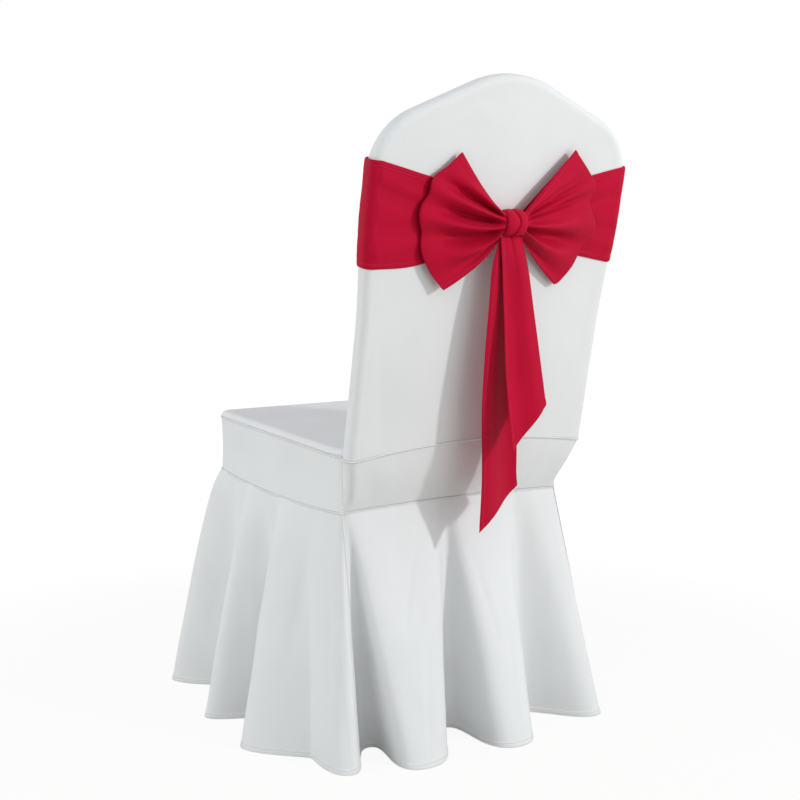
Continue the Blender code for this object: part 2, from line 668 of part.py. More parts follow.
def make_loop(name, side, start, reach, fan, troughs, material):
    """A folded loop: its outer layer runs from the knot to the fold, and back behind itself."""
    mouth = math.sin(math.radians(LOOP_MOUTH))
    rows = []
    for turn in LOOP_TURNS:
        run = math.sin(math.radians(turn))
        facing = math.cos(math.radians(turn))
        facing = math.copysign(abs(facing) ** LOOP_FACING_POWER, facing)
        opened = max(run - mouth, 0.0) / (1.0 - mouth)
        puff = mix(LOOP_PUFF_NECK, LOOP_PUFF_RIM, opened ** 2)
        points = []
        for spread_step in range(LOOP_SPREAD_STEPS + 1):
            spread = 2.0 * spread_step / LOOP_SPREAD_STEPS - 1.0
            angle = mix(reach[0][0], reach[-1][0], (spread + 1.0) / 2.0)
            length, rim_out = read_table(reach, angle)
            across = mix(start[0], start[1], min(run / mouth, 1.0))
            across = mix(across, length * math.cos(math.radians(angle)), opened)
            power = mix(fan[1], fan[0], (spread + 1.0) / 2.0)
            rim_up = length * math.sin(math.radians(angle))
            up = mix(LOOP_NECK_HALF * spread, rim_up, opened ** power)
            pinch = math.sqrt(1.0 - LOOP_EDGE_PINCH * spread ** 2)
            fold = sum(
                depth * math.exp(-(((angle - middle) / width) ** 2)) for middle, depth, width in troughs
            )
            out = mix(KNOT_OUT, rim_out, opened) + puff * pinch * facing
            out -= fold * math.sin(math.pi * opened) * (1.0 + facing) / 2.0
            points.append(back_point(BOW_ACROSS - BACK_FOOT.x + side * across, KNOT_UP + up, out))
        rows.append(points if side > 0.0 else points[::-1])
    return add_sheet(name, (rows,), material, SASH_KNIT)


def make_tail(name, sections, corner, tip, fold_side, material):
    """A strip that hangs from the knot and ends in a slanting cut."""
    rows = []
    for row in range(TAIL_ROWS + 1):
        points = []
        for column in range(TAIL_STEPS + 1):
            across = column / TAIL_STEPS
            z = mix(TAIL_TOP, mix(corner, tip, across), row / TAIL_ROWS)
            left, right, left_y, right_y = read_table(sections, z)
            run_out = ease((TAIL_TOP - z) / TAIL_GATHER)
            fold = TAIL_FOLD * math.sin(2.0 * math.pi * across) * fold_side * run_out
            points.append(Vector((mix(right, left, across), mix(right_y, left_y, across) + fold, z)))
        rows.append(points)
    return add_sheet(name, (rows,), material, SASH_KNIT)


def main():
    for old in list(bpy.data.objects):
        bpy.data.objects.remove(old)
    white = make_material("white_knit", (0.82, 0.83, 0.84), 0.75)
    red = make_material("crimson_knit", (0.50, 0.012, 0.045), 0.65)
    seam = CORNER_STATION - CORNER_SEAM_HALF
    other_seam = ROUND - CORNER_STATION - CORNER_SEAM_HALF
    pieces = [
        make_hood(white),
        make_seat_panel(white),
        make_apron_front(white),
        make_apron_rear(white),
        make_skirt("skirt_rear", -seam, seam, white),
        make_skirt("skirt_front", CORNER_STATION + CORNER_SEAM_HALF, other_seam, white),
        make_band(red),
        make_knot(red),
        make_loop("bow_loop_left", 1.0, LEFT_START, LEFT_REACH, LEFT_FAN, LEFT_TROUGHS, red),
        make_loop("bow_loop_right", -1.0, RIGHT_START, RIGHT_REACH, RIGHT_FAN, RIGHT_TROUGHS, red),
        make_tail("tail_front", SHORT_TAIL, SHORT_TAIL_CORNER, SHORT_TAIL_TIP, 1.0, red),
        make_tail("tail_rear", LONG_TAIL, LONG_TAIL_CORNER, LONG_TAIL_TIP, -1.0, red),
    ]
    floor_centre = bpy.data.objects.new("floor_centre", None)
    bpy.context.collection.objects.link(floor_centre)
    floor_centre.location = -CHAIR_TOP
    for piece in pieces:
        piece.parent = floor_centre


main()
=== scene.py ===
import math

import bmesh
import bpy
from mathutils import Matrix, Vector, noise


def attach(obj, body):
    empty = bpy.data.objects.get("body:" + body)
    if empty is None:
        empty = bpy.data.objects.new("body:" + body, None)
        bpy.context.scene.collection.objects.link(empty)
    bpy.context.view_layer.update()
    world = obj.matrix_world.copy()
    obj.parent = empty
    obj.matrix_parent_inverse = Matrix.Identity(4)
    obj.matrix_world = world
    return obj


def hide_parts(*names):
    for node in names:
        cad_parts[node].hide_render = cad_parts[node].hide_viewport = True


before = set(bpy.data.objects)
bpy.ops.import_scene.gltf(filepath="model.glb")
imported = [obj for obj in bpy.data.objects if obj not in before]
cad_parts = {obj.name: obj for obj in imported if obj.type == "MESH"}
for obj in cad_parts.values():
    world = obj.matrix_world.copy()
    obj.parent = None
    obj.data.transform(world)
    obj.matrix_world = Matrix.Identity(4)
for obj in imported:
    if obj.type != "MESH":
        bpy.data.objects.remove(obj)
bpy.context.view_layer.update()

# Shapes are worked out in metres from the floor under the middle of the chair, with the rear of
# the chair towards +Y. The frame's origin is under the top of the hood, chairTop above that floor.
chairTop = Vector((0.0, 0.3384, 0.9990))

# The seat's plan and seams; tucks are how far its rear corners on +X and -X are tucked in
seat = dict(
    rearHalf=0.200, frontHalf=0.186, rearY=0.200, frontY=-0.271,
    rearCorner=0.012, frontCorner=0.022,
    seamRear=0.4515, seamFront=0.4605, roll=0.0095, tucks=(0.0045, -0.0040),
    skirtSeam=0.3685, skirtSag=0.0105, skirtArch=0.0045, archFrom=0.4, archRun=0.2,
)
back = dict(
    foot=Vector((-0.006, 0.2394, 0.455)), lean=11.85, depth=0.030, edge=0.011,
    lowHalf=0.2130, highHalf=0.2215, widensFrom=0.18, widensTo=0.36,
    shoulder=0.100, shoulderUp=0.4076, slope=23.6, crown=0.165,
    bulge=0.003, bulgeTop=0.46, seamLow=0.4515, seamArch=0.0165,
)

lean = math.radians(back["lean"])
backUp = Vector((0.0, math.sin(lean), math.cos(lean)))
backOut = Vector((0.0, math.cos(lean), -math.sin(lean)))


def mix(a, b, share):
    return a + (b - a) * share


def ease(share):
    share = min(max(share, 0.0), 1.0)
    return share * share * (3.0 - 2.0 * share)


def hump(place, width):
    return math.exp(-((place / width) ** 2))


def cubic(start, startPull, end, endPull, share):
    square, cube = share * share, share ** 3
    return (
        start * (2 * cube - 3 * square + 1)
        + startPull * (cube - 2 * square + share)
        + end * (3 * square - 2 * cube)
        + endPull * (cube - square)
    )


def smoothTable(rows, place):
    # values beside a place in the first column, on a soft curve through the rows
    if place <= rows[0][0]:
        return list(rows[0][1:])
    for i, (low, high) in enumerate(zip(rows, rows[1:])):
        if place <= high[0]:
            before, after = rows[max(i - 1, 0)], rows[min(i + 2, len(rows) - 1)]
            gap = high[0] - low[0]
            share = (place - low[0]) / gap
            found = []
            for c in range(1, len(low)):
                pullLow = (high[c] - before[c]) / (high[0] - before[0]) * gap
                pullHigh = (after[c] - low[c]) / (after[0] - low[0]) * gap
                found.append(cubic(low[c], pullLow, high[c], pullHigh, share))
            return found
    return list(rows[-1][1:])


# Steps from an edge inwards: close together over its seam or hem, then wider
seamSteps = (0.0, 0.0008, 0.0016, 0.0024, 0.0032, 0.0041, 0.0053, 0.0075, 0.0115)
hemSteps = (0.0, 0.0006, 0.0014, 0.0030, 0.0055, 0.0068, 0.0075, 0.0082, 0.0090, 0.0100, 0.0118, 0.0160)
narrowHemSteps = hemSteps[:10]
plainEdge = (0.0,)

# The cloth beside an edge: how far it stands up or sinks, how far from the edge and over what
# half width. A hem is doubled as far as its stitch line; a seam's allowance runs on behind it.
seamRidge = dict(height=0.0007, place=0.0013, half=0.0019)
seamTuck = dict(depth=0.0003, half=0.0010)
seamTurn = dict(run=0.0026, edge=0.0003, deep=0.0013, deeper=0.0008)
hem = dict(
    width=0.0082, height=0.0008, slopeFrom=0.0006, slope=0.0014, stitchIn=0.0012, drawn=0.0006,
    drawnHalf=0.0007, rounding=0.0007, roundingHalf=0.0008, edgeLine=0.0008,
)
hemLine = hem["width"] - hem["stitchIn"]


def sharesAcross(length, coarse, start=seamSteps, end=seamSteps):
    # shares from 0 to 1 along a length, fine at the ends that are sewn or hemmed
    first = list(start)
    last = [length - step for step in reversed(end)]
    count = max(int(round((last[0] - first[-1]) / coarse)), 1)
    middle = [mix(first[-1], last[0], i / count) for i in range(1, count)]
    return [step / length for step in first + middle + last]


def alongRow(points):
    lengths = [0.0]
    for a, b in zip(points, points[1:]):
        lengths.append(lengths[-1] + (b - a).length)
    return lengths


def spotAlong(lengths, target, spot=0):
    # the stretch of a line that holds a length along it, and how far along that stretch it lies
    while spot < len(lengths) - 2 and lengths[spot + 1] < target:
        spot += 1
    return spot, (target - lengths[spot]) / max(lengths[spot + 1] - lengths[spot], 1e-9)


def rowNormals(rows, closed=False):
    # outer side of a grid whose rows run down and whose columns run to the left
    count, width = len(rows), len(rows[0])
    normals = []
    for r in range(count):
        line = []
        for c in range(width):
            down = rows[min(r + 1, count - 1)][c] - rows[max(r - 1, 0)][c]
            if closed:
                left = rows[r][(c + 1) % width] - rows[r][c - 1]
            else:
                left = rows[r][min(c + 1, width - 1)] - rows[r][max(c - 1, 0)]
            line.append(left.cross(down).normalized())
        normals.append(line)
    return normals


def seamEdge(distance):
    # the turned allowance stands up behind the seam
    return seamRidge["height"] * hump(distance - seamRidge["place"], seamRidge["half"])


def tuckedEdge(distance):
    # the edge sinks under the piece that is sewn over it
    return -seamTuck["depth"] * hump(distance, seamTuck["half"])


def hemEdge(distance):
    # doubled cloth as far as the stitch line, which draws it in
    inner = distance - hem["width"]
    doubled = hem["height"] * (1.0 - ease((inner + hem["slopeFrom"]) / hem["slope"]))
    drawn = hem["drawn"] * hump(inner + hem["stitchIn"], hem["drawnHalf"])
    return doubled - drawn - hem["rounding"] * hump(distance, hem["roundingHalf"])


def finished(rows, closed=False, top=None, bottom=None, left=None, right=None, relief=None):
    # left is the last column and right the first one, as the outer side is seen
    normals = rowNormals(rows, closed)
    columns = [alongRow([row[c] for row in rows]) for c in range(len(rows[0]))]
    made = []
    for r, row in enumerate(rows):
        across = alongRow(row)
        line = []
        for c, point in enumerate(row):
            height = relief(r, c, point) if relief else 0.0
            height += top(columns[c][r]) if top else 0.0
            height += bottom(columns[c][-1] - columns[c][r]) if bottom else 0.0
            height += right(across[c]) if right else 0.0
            height += left(across[-1] - across[c]) if left else 0.0
            line.append(point + normals[r][c] * height)
        made.append(line)
    return made


def turned(rows):
    # the same grid a quarter turn round, its left column now on top and its outer side kept
    return [[row[c] for row in rows] for c in range(len(rows[0]) - 1, -1, -1)]


def allowance(rows, quarters=(0,)):
    # the cloth beyond tucked seam edges, which lies behind the piece it is sewn to; each edge is the
    # one that comes to the top after so many quarter turns
    for quarter in quarters:
        for _ in range(quarter):
            rows = turned(rows)
        normals = rowNormals(rows)
        behind, turnedIn = [], []
        for point, after, normal in zip(rows[0], rows[1], normals[0]):
            onwards = point - after
            onwards = (onwards - normal * onwards.dot(normal)).normalized()
            deepest = normal * (seamTurn["deep"] + seamTurn["deeper"])
            behind.append(point + onwards * seamTurn["run"] - deepest)
            turnedIn.append(point + onwards * seamTurn["edge"] - normal * seamTurn["deep"])
        rows = [behind, turnedIn] + rows
        for _ in range((4 - quarter) % 4):
            rows = turned(rows)
    return rows


noiseApart = (7.3, 3.1, 5.7)
weldWithin = 0.00002


def softNoise(x, y, z, seed):
    return noise.noise(Vector([place + seed * apart for place, apart in zip((x, y, z), noiseApart)]))


def addObject(name, mesh, material):
    mesh.materials.append(material)
    mesh.shade_smooth()
    piece = bpy.data.objects.new(name, mesh)
    bpy.context.collection.objects.link(piece)
    return piece


def sewCloth(name, grids, cloth, grow=-1.0, closed=False):
    # one sheet from grids that share their edges; "weave" holds where each corner lies on the cloth
    bm = bmesh.new()
    weave = bm.loops.layers.float_vector.new("weave")
    for rows in grids:
        width = len(rows[0])
        middle = len(rows) // 2
        across = alongRow(rows[middle] + rows[middle][:1])
        columns = [alongRow([row[c] for row in rows]) for c in range(width)]
        verts = [[bm.verts.new(point - chairTop) for point in row] for row in rows]
        for r in range(len(rows) - 1):
            for i in range(width if closed else width - 1):
                j = (i + 1) % width
                face = bm.faces.new((verts[r][i], verts[r][j], verts[r + 1][j], verts[r + 1][i]))
                places = ((i, i, r), (i + 1, j, r), (i + 1, j, r + 1), (i, i, r + 1))
                for loop, (u, c, v) in zip(face.loops, places):
                    loop[weave] = Vector((across[u], columns[c][v], 0.0))
    if len(grids) > 1:
        bmesh.ops.remove_doubles(bm, verts=bm.verts, dist=weldWithin)
    mesh = bpy.data.meshes.new(name)
    bm.to_mesh(mesh)
    bm.free()
    piece = addObject(name, mesh, cloth["knit"])
    solidify = piece.modifiers.new("thickness", "SOLIDIFY")
    solidify.thickness = cloth["thick"]
    solidify.offset = grow
    solidify.use_even_offset = False
    solidify.use_quality_normals = True
    return piece


# Stitches: how far apart, how long, half how broad and how far out; all are flat, with pointed ends
stitches = dict(
    fine=dict(pitch=0.0032, length=0.0022, half=0.00028, stand=0.00010),
    seam=dict(pitch=0.0034, length=0.0034, half=0.0014, stand=0.0006),
    hem=dict(pitch=0.0034, length=0.0032, half=0.0009, stand=0.0004),
)
stitchShape = dict(flatness=0.3, shoulder=0.55)


def addStitches(name, lines, cloth, kind="fine"):
    # each line is (points, normals) that the thread follows
    stitch, shoulder = stitches[kind], stitchShape["shoulder"]
    points, faces = [], []
    for line, normals in lines:
        lengths = alongRow(line)
        count = int(lengths[-1] / stitch["pitch"])
        spot = 0
        for i in range(count):
            spot, share = spotAlong(lengths, (i + 0.5) * lengths[-1] / count, spot)
            normal = normals[spot].lerp(normals[spot + 1], share).normalized()
            centre = line[spot].lerp(line[spot + 1], share) + normal * stitch["stand"]
            along = (line[spot + 1] - line[spot]).normalized()
            side = along.cross(normal).normalized() * stitch["half"]
            rise = normal * stitch["half"] * stitchShape["flatness"]
            reach = along * stitch["length"] / 2.0
            first = len(points)
            points.append(centre - reach - rise)
            for part in (-shoulder, shoulder):
                points += [centre + reach * part + turn for turn in (side, rise, -side, -rise)]
            points.append(centre + reach - rise)
            for k in range(4):
                n = (k + 1) % 4
                faces.append((first, first + 1 + n, first + 1 + k))
                faces.append((first + 1 + k, first + 1 + n, first + 5 + n, first + 5 + k))
                faces.append((first + 9, first + 5 + k, first + 5 + n))
    mesh = bpy.data.meshes.new(name)
    mesh.from_pydata([tuple(point - chairTop) for point in points], [], faces)
    return addObject(name, mesh, cloth["thread"])


def rowLine(rows, distance, fromEnd, lift=0.0):
    # the points and normals of a grid at a distance from its upper or lower edge
    normals = rowNormals(rows)
    line, lineNormals = [], []
    for c in range(len(rows[0])):
        lengths = alongRow([row[c] for row in rows])
        r, share = spotAlong(lengths, lengths[-1] - distance if fromEnd else distance)
        normal = normals[r][c].lerp(normals[r + 1][c], share).normalized()
        line.append(rows[r][c].lerp(rows[r + 1][c], share) + normal * lift)
        lineNormals.append(normal)
    return line, lineNormals


def sideLines(rows, distance):
    # the same beside both of its other edges
    sides = turned(rows)
    return [rowLine(sides, distance, fromEnd) for fromEnd in (False, True)]


def settle(piece, node, withPieces=()):
    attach(piece, "root")
    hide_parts(node)
    for extra in withPieces:
        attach(extra, "root")
    print(piece.name, "sewn,", len(piece.data.polygons), "faces")


# Materials

knit = dict(
    wale=0.0011, course=0.0009, depth=0.00011, bend=1.3, fuzz=900.0, fuzzHeight=0.8, fuzzRough=0.06,
    clouds=9.0, cloudDetail=3.0, cloudLow=0.3, cloudHigh=0.7, sheenSoftness=0.5,
)
threadLook = dict(roughness=0.5, twist=1500.0, dark=0.85, light=1.1)
whiteLook = dict(
    colour=(0.785, 0.79, 0.805), roughness=0.86, sheen=0.12, sheenTint=(1.0, 1.0, 1.0), shine=0.18,
    shineTint=(1.0, 1.0, 1.0), shade=0.035, strength=0.35, thread=(0.96, 0.96, 0.96),
)
redLook = dict(
    colour=(0.52, 0.0066, 0.034), roughness=0.58, sheen=0.06, sheenTint=(0.9, 0.05, 0.16), shine=0.25,
    shineTint=(1.0, 0.06, 0.20), shade=0.10, strength=0.45, thread=(0.62, 0.03, 0.09),
)


def addNode(tree, kind, values=None, links=None):
    # a node with some of its sockets set and others fed
    node = tree.nodes.new("ShaderNode" + kind)
    for socket, value in (values or {}).items():
        node.inputs[socket].default_value = value
    for socket, source in (links or {}).items():
        tree.links.new(source, node.inputs[socket])
    return node


def mathNode(tree, operation, first, second=None):
    node = tree.nodes.new("ShaderNodeMath")
    node.operation = operation
    for socket, value in zip(node.inputs, (first, second)):
        if value is None:
            continue
        if isinstance(value, (int, float)):
            socket.default_value = value
        else:
            tree.links.new(value, socket)
    return node.outputs[0]


def mapped(tree, value, low, high, fromLow=0.0, fromHigh=1.0):
    # a value carried over from one pair of limits to another
    limits = {"From Min": fromLow, "From Max": fromHigh, "To Min": low, "To Max": high}
    return addNode(tree, "MapRange", limits, {"Value": value}).outputs["Result"]


def grain(tree, scale, detail=2.0):
    # soft random values that stay with the piece
    place = tree.nodes.new("ShaderNodeTexCoord").outputs["Object"]
    return addNode(tree, "TexNoise", {"Scale": scale, "Detail": detail}, {"Vector": place}).outputs["Fac"]


def newMaterial(name, settings):
    material = bpy.data.materials.new(name)
    material.use_nodes = True
    shader = material.node_tree.nodes["Principled BSDF"]
    for socket, value in settings.items():
        shader.inputs[socket].default_value = value
    return material, material.node_tree, shader


def addColour(tree, shader, colour, tone):
    # the shader's colour, made darker or lighter by a tone
    scaled = tree.nodes.new("ShaderNodeVectorMath")
    scaled.operation = "SCALE"
    scaled.inputs[0].default_value = colour
    tree.links.new(tone, scaled.inputs["Scale"])
    tree.links.new(scaled.outputs["Vector"], shader.inputs["Base Color"])


def knitMaterial(name, look):
    # a fine stretch knit: rows of small loops with painted shade in the grooves between them, cloudy shade,
    # fuzz and a low sheen
    material, tree, shader = newMaterial(name, {
        "Sheen Weight": look["sheen"], "Sheen Roughness": knit["sheenSoftness"],
        "Sheen Tint": (*look["sheenTint"], 1.0), "Specular IOR Level": look["shine"],
        "Specular Tint": (*look["shineTint"], 1.0),
    })
    place = tree.nodes.new("ShaderNodeAttribute")
    place.attribute_name = "weave"
    split = addNode(tree, "SeparateXYZ", links={0: place.outputs["Vector"]})
    wale = mathNode(tree, "MULTIPLY", split.outputs["X"], 2.0 * math.pi / knit["wale"])
    course = mathNode(tree, "MULTIPLY", split.outputs["Y"], 2.0 * math.pi / knit["course"])
    waleWave = mathNode(tree, "COSINE", wale)
    # the courses rise and fall across each wale, which makes the little V of a knit stitch
    bent = mathNode(tree, "ADD", course, mathNode(tree, "MULTIPLY", waleWave, knit["bend"]))
    loops = mathNode(tree, "MULTIPLY", mathNode(tree, "SINE", bent), 0.5)
    relief = mathNode(tree, "ADD", loops, mathNode(tree, "MULTIPLY", waleWave, 0.5))

    clouds = grain(tree, knit["clouds"], knit["cloudDetail"])
    dark = 1.0 - look["shade"]
    shade = mapped(tree, clouds, dark, 1.0, knit["cloudLow"], knit["cloudHigh"])
    # painted shade: the colour is darker where the knit's relief sinks, in the grooves between the loops
    paintedLoopShade = mapped(tree, relief, dark, 1.0, -1.0, 1.0)
    addColour(tree, shader, look["colour"], mathNode(tree, "MULTIPLY", shade, paintedLoopShade))

    fuzz = grain(tree, knit["fuzz"])
    rough = [look["roughness"] + side * knit["fuzzRough"] for side in (-1.0, 1.0)]
    tree.links.new(mapped(tree, fuzz, *rough), shader.inputs["Roughness"])

    height = mathNode(tree, "ADD", relief, mathNode(tree, "MULTIPLY", fuzz, knit["fuzzHeight"]))
    settings = {"Strength": look["strength"], "Distance": knit["depth"]}
    bump = addNode(tree, "Bump", settings, {"Height": height})
    tree.links.new(bump.outputs["Normal"], shader.inputs["Normal"])
    return material


def threadMaterial(name, colour):
    material, tree, shader = newMaterial(name, {"Roughness": threadLook["roughness"]})
    tone = mapped(tree, grain(tree, threadLook["twist"]), threadLook["dark"], threadLook["light"])
    addColour(tree, shader, colour, tone)
    return material


def makeCloth(name, look, thick, slot):
    knitted, threaded = knitMaterial(name + "Knit", look), threadMaterial(name + "Thread", look["thread"])
    return dict(knit=knitted, thread=threaded, thick=thick, slot=slot)


whiteCloth = makeCloth("white", whiteLook, thick=0.0015, slot="white_knit")
redCloth = makeCloth("red", redLook, thick=0.0012, slot="crimson_knit")
print("materials ready")


# Plan of the seat


cornerSteps = 16


def seatOutline():
    corners = (
        (Vector((seat["rearHalf"], seat["rearY"])), seat["rearCorner"]),
        (Vector((seat["frontHalf"], seat["frontY"])), seat["frontCorner"]),
        (Vector((-seat["frontHalf"], seat["frontY"])), seat["frontCorner"]),
        (Vector((-seat["rearHalf"], seat["rearY"])), seat["rearCorner"]),
    )
    outline = [Vector((0.0, seat["rearY"]))]
    for number, (corner, radius) in enumerate(corners):
        before = (corners[number - 1][0] - corner).normalized()
        after = (corners[(number + 1) % 4][0] - corner).normalized()
        halfAngle = before.angle(after) / 2.0
        reach = radius / math.tan(halfAngle)
        middle = corner + (before + after).normalized() * (radius / math.sin(halfAngle))
        first = corner + before * reach - middle
        last = corner + after * reach - middle
        sweep = first.angle(last)
        for step in range(cornerSteps + 1):
            turn = sweep * step / cornerSteps
            spoke = (first * math.sin(sweep - turn) + last * math.sin(turn)) / math.sin(sweep)
            outline.append(middle + spoke)
    return outline


outline = seatOutline()
outlineLengths = alongRow(outline + outline[:1])
roundSeat = outlineLengths[-1]
# places along it from the middle of the rear: the middle and the end of the rear corner on +X,
# and the middle of the front one
cornerStation = outlineLengths[1 + cornerSteps // 2]
sideStation = outlineLengths[1 + cornerSteps]
frontCornerStation = outlineLengths[2 + cornerSteps + cornerSteps // 2]


def placeOnSeam(station):
    station = station % roundSeat
    low, high = 0, len(outline)
    while high - low > 1:
        middle = (low + high) // 2
        if outlineLengths[middle] <= station:
            low = middle
        else:
            high = middle
    share = (station - outlineLengths[low]) / (outlineLengths[low + 1] - outlineLengths[low])
    return outline[low].lerp(outline[(low + 1) % len(outline)], share)


def outward(station, reach):
    # the level way out of the seam, taken from the seam as far as the reach on both sides
    chord = placeOnSeam(station + reach) - placeOnSeam(station - reach)
    return Vector((-chord.y, chord.x)).normalized()


def seatSeamHeight(y):
    share = (y - seat["frontY"]) / (seat["rearY"] - seat["frontY"])
    return mix(seat["seamFront"], seat["seamRear"], share)


def skirtSeamHeight(point):
    along = (point.y - seat["frontY"]) / (seat["rearY"] - seat["frontY"])
    sag = seat["skirtSag"] * max(1.0 - (2.0 * along - 1.0) ** 2, 0.0)
    across = max(1.0 - (point.x / seat["rearHalf"]) ** 2, 0.0)
    arch = seat["skirtArch"] * across * ease((along - seat["archFrom"]) / seat["archRun"])
    return seat["skirtSeam"] - sag + arch


# The back


def backPoint(across, up, out):
    return back["foot"] + Vector((across, 0.0, 0.0)) + backUp * up + backOut * out


def upAtHeight(z, out):
    return (z - back["foot"].z - out * backOut.z) / backUp.z


def backHalfWidth(up):
    widening = ease((up - back["widensFrom"]) / (back["widensTo"] - back["widensFrom"]))
    return mix(back["lowHalf"], back["highHalf"], widening)


def rearBulge(across, up):
    side = min(abs(across) / (backHalfWidth(up) - back["edge"]), 1.0)
    rise = min(max(up / back["bulgeTop"], 0.0), 1.0)
    return back["bulge"] * (1.0 - side ** 2) ** 2 * math.sin(math.pi * rise)


# uneven: height, size and seed of its slight waves
hood = dict(
    sideStep=0.008, shoulderSteps=24, crownSteps=22, edgeSteps=8, behindSeat=0.0016,
    uneven=((0.0008, 0.11, 1), (0.0003, 0.045, 2)), sashUp=0.352, sashHalf=0.080, sashFade=0.030,
    sideRim=0.07, topRim=0.05, rimHeight=0.0003, rimPlace=0.030, rimHalf=0.014,
)

# Soft pulls in the hood's rear: across, up, length, half width, turn in degrees, height
hoodPulls = (
    (0.165, 0.055, 0.100, 0.010, 80, -0.0009),
    (-0.150, 0.060, 0.080, 0.012, 100, -0.0008),
    (0.090, 0.200, 0.060, 0.009, 74, 0.0008),
    (0.110, 0.470, 0.060, 0.012, 28, -0.0009),
    (0.050, 0.500, 0.050, 0.010, 24, 0.0007),
    (-0.120, 0.470, 0.050, 0.010, -26, 0.0006),
)


def hoodFoot(across, out):
    # the lower edge: an arch over the rear; the front wall ends just behind the seat's rolled edge
    if out <= -back["depth"]:
        x = across + back["foot"].x
        inset = seat["rearHalf"] - seat["tucks"][x < 0.0] - abs(x)
        level = 1.0 - min(max(inset / seat["roll"], 0.0), 1.0)
        rise = seat["roll"] * math.sqrt(1.0 - level ** 2)
        return upAtHeight(seat["seamRear"] + max(rise - hood["behindSeat"], 0.0), out)
    side = across / (back["lowHalf"] - back["edge"])
    return upAtHeight(back["seamLow"] + back["seamArch"] * max(1.0 - side ** 2, 0.0), out)


def hoodOutline(inset, out, turn):
    # (across, up, out) from the foot on +X over the crown to the other foot, with its seam
    half = []
    foot = hoodFoot(back["lowHalf"], out)
    run = back["shoulderUp"] - foot
    for share in sharesAcross(run, hood["sideStep"], end=plainEdge)[:-1]:
        up = mix(foot, back["shoulderUp"], share)
        ridge = tuckedEdge(up - foot)
        across = backHalfWidth(up) - inset + ridge * math.cos(turn)
        half.append(Vector((across, up, out + ridge * math.sin(turn))))
    turnEnd = math.radians(90.0 - back["slope"])
    shoulder = back["highHalf"] - back["shoulder"]
    radius = back["shoulder"] - inset
    for step in range(hood["shoulderSteps"] + 1):
        angle = turnEnd * step / hood["shoulderSteps"]
        across = shoulder + radius * math.cos(angle)
        half.append(Vector((across, back["shoulderUp"] + radius * math.sin(angle), out)))
    toSlope = shoulder * math.cos(turnEnd) + back["shoulderUp"] * math.sin(turnEnd)
    crownUp = (toSlope + back["shoulder"] - back["crown"]) / math.sin(turnEnd)
    radius = back["crown"] - inset
    for step in range(1, hood["crownSteps"] + 1):
        angle = mix(turnEnd, math.pi / 2.0, step / hood["crownSteps"])
        half.append(Vector((radius * math.cos(angle), crownUp + radius * math.sin(angle), out)))
    return half + [Vector((-p.x, p.y, p.z)) for p in reversed(half[:-1])]


def edgeRings(steps):
    # inset, depth and turn of the rings that round the back's narrow edge, from rear to front
    rear, front = [], []
    for step in range(steps + 1):
        turn = math.pi / 2.0 * step / steps
        near, far = back["edge"] * (1 - math.sin(turn)), back["edge"] * (1 - math.cos(turn))
        rear.append((near, -far, math.pi / 2.0 - turn))
        front.append((near, far - back["depth"], turn - math.pi / 2.0))
    return rear + front[::-1]


def splitRim(rim, corner):
    # the left, top and right edges of an open rim, and the shares of the width along the top
    left, top, right = rim[:corner + 1], rim[corner:-corner], rim[-corner - 1:][::-1]
    widths = alongRow(top)
    return left, top, right, [width / widths[-1] for width in widths]


def fillGrid(left, top, right, bottom, shares):
    # rows from the top down, blended from four edges, with each point's shares; the sides run upwards
    lengths = alongRow(left)
    grid = []
    for row in range(len(left) - 1, -1, -1):
        v = lengths[row] / lengths[-1]
        points = []
        for column, u in enumerate(shares):
            sides = left[row].lerp(right[row], u)
            ends = bottom[column].lerp(top[column], v)
            corners = left[0].lerp(right[0], u).lerp(left[-1].lerp(right[-1], u), v)
            points.append((sides + ends - corners, u, v))
        grid.append(points)
    return grid


def hoodRelief(across, up):
    # the cloth's own unevenness, which dies away under the sash
    total = 0.0
    for height, size, seed in hood["uneven"]:
        total += height * softNoise(across / size, up / size, 0.0, seed)
    for x, y, length, half, turn, height in hoodPulls:
        turn = math.radians(turn)
        along = (across - x) * math.cos(turn) + (up - y) * math.sin(turn)
        aside = -(across - x) * math.sin(turn) + (up - y) * math.cos(turn)
        total += height * hump(along, length) * hump(aside, half)
    return total * ease((abs(up - hood["sashUp"]) - hood["sashHalf"]) / hood["sashFade"])


def hoodFace(out, facing):
    # the flat of the hood, facing 1 at the rear and -1 at the front
    points = hoodOutline(back["edge"], out, facing * math.pi / 2.0)
    corner = (len(points) - 1) // 2 - hood["crownSteps"] - hood["shoulderSteps"] // 2
    left, top, right, shares = splitRim(points, corner)
    bottom = []
    for share in shares:
        x = mix(left[0].x, right[0].x, share)
        bottom.append(Vector((x, hoodFoot(x, out), left[0].z)))
    rows = []
    for row in fillGrid(left, top, right, bottom, shares):
        line = []
        for point, u, v in row:
            inner, below = min(u, 1.0 - u), ease((1.0 - v) / hood["topRim"])
            relief = hoodRelief(point.x * facing, point.y) * (ease(inner / hood["sideRim"]) * below)
            relief += hood["rimHeight"] * hump(inner - hood["rimPlace"], hood["rimHalf"]) * below
            swell = rearBulge(point.x, point.y) if facing > 0.0 else 0.0
            line.append(backPoint(point.x, point.y, point.z + swell + facing * relief))
        rows.append(line)
    return rows


def makeHood():
    rings = []
    for inset, out, turn in edgeRings(hood["edgeSteps"]):
        rings.append([backPoint(*p) for p in hoodOutline(inset, out, turn)])
    rear = [row[::-1] for row in hoodFace(0.0, 1.0)]
    front = hoodFace(-back["depth"], -1.0)
    piece = sewCloth("hoodCloth", (rings, rear, front), whiteCloth)
    settle(piece, "hood")


makeHood()


# Seat panel and the strips between the two seams

seatPanel = dict(
    step=0.009, sideTurn=0.011, rollSteps=6, rollRise=0.98, wallGap=0.0008, tuckColumns=4,
    cushion=0.0020, cushionRun=0.30, rimRun=0.05, uneven=0.0008, unevenSize=0.08,
)


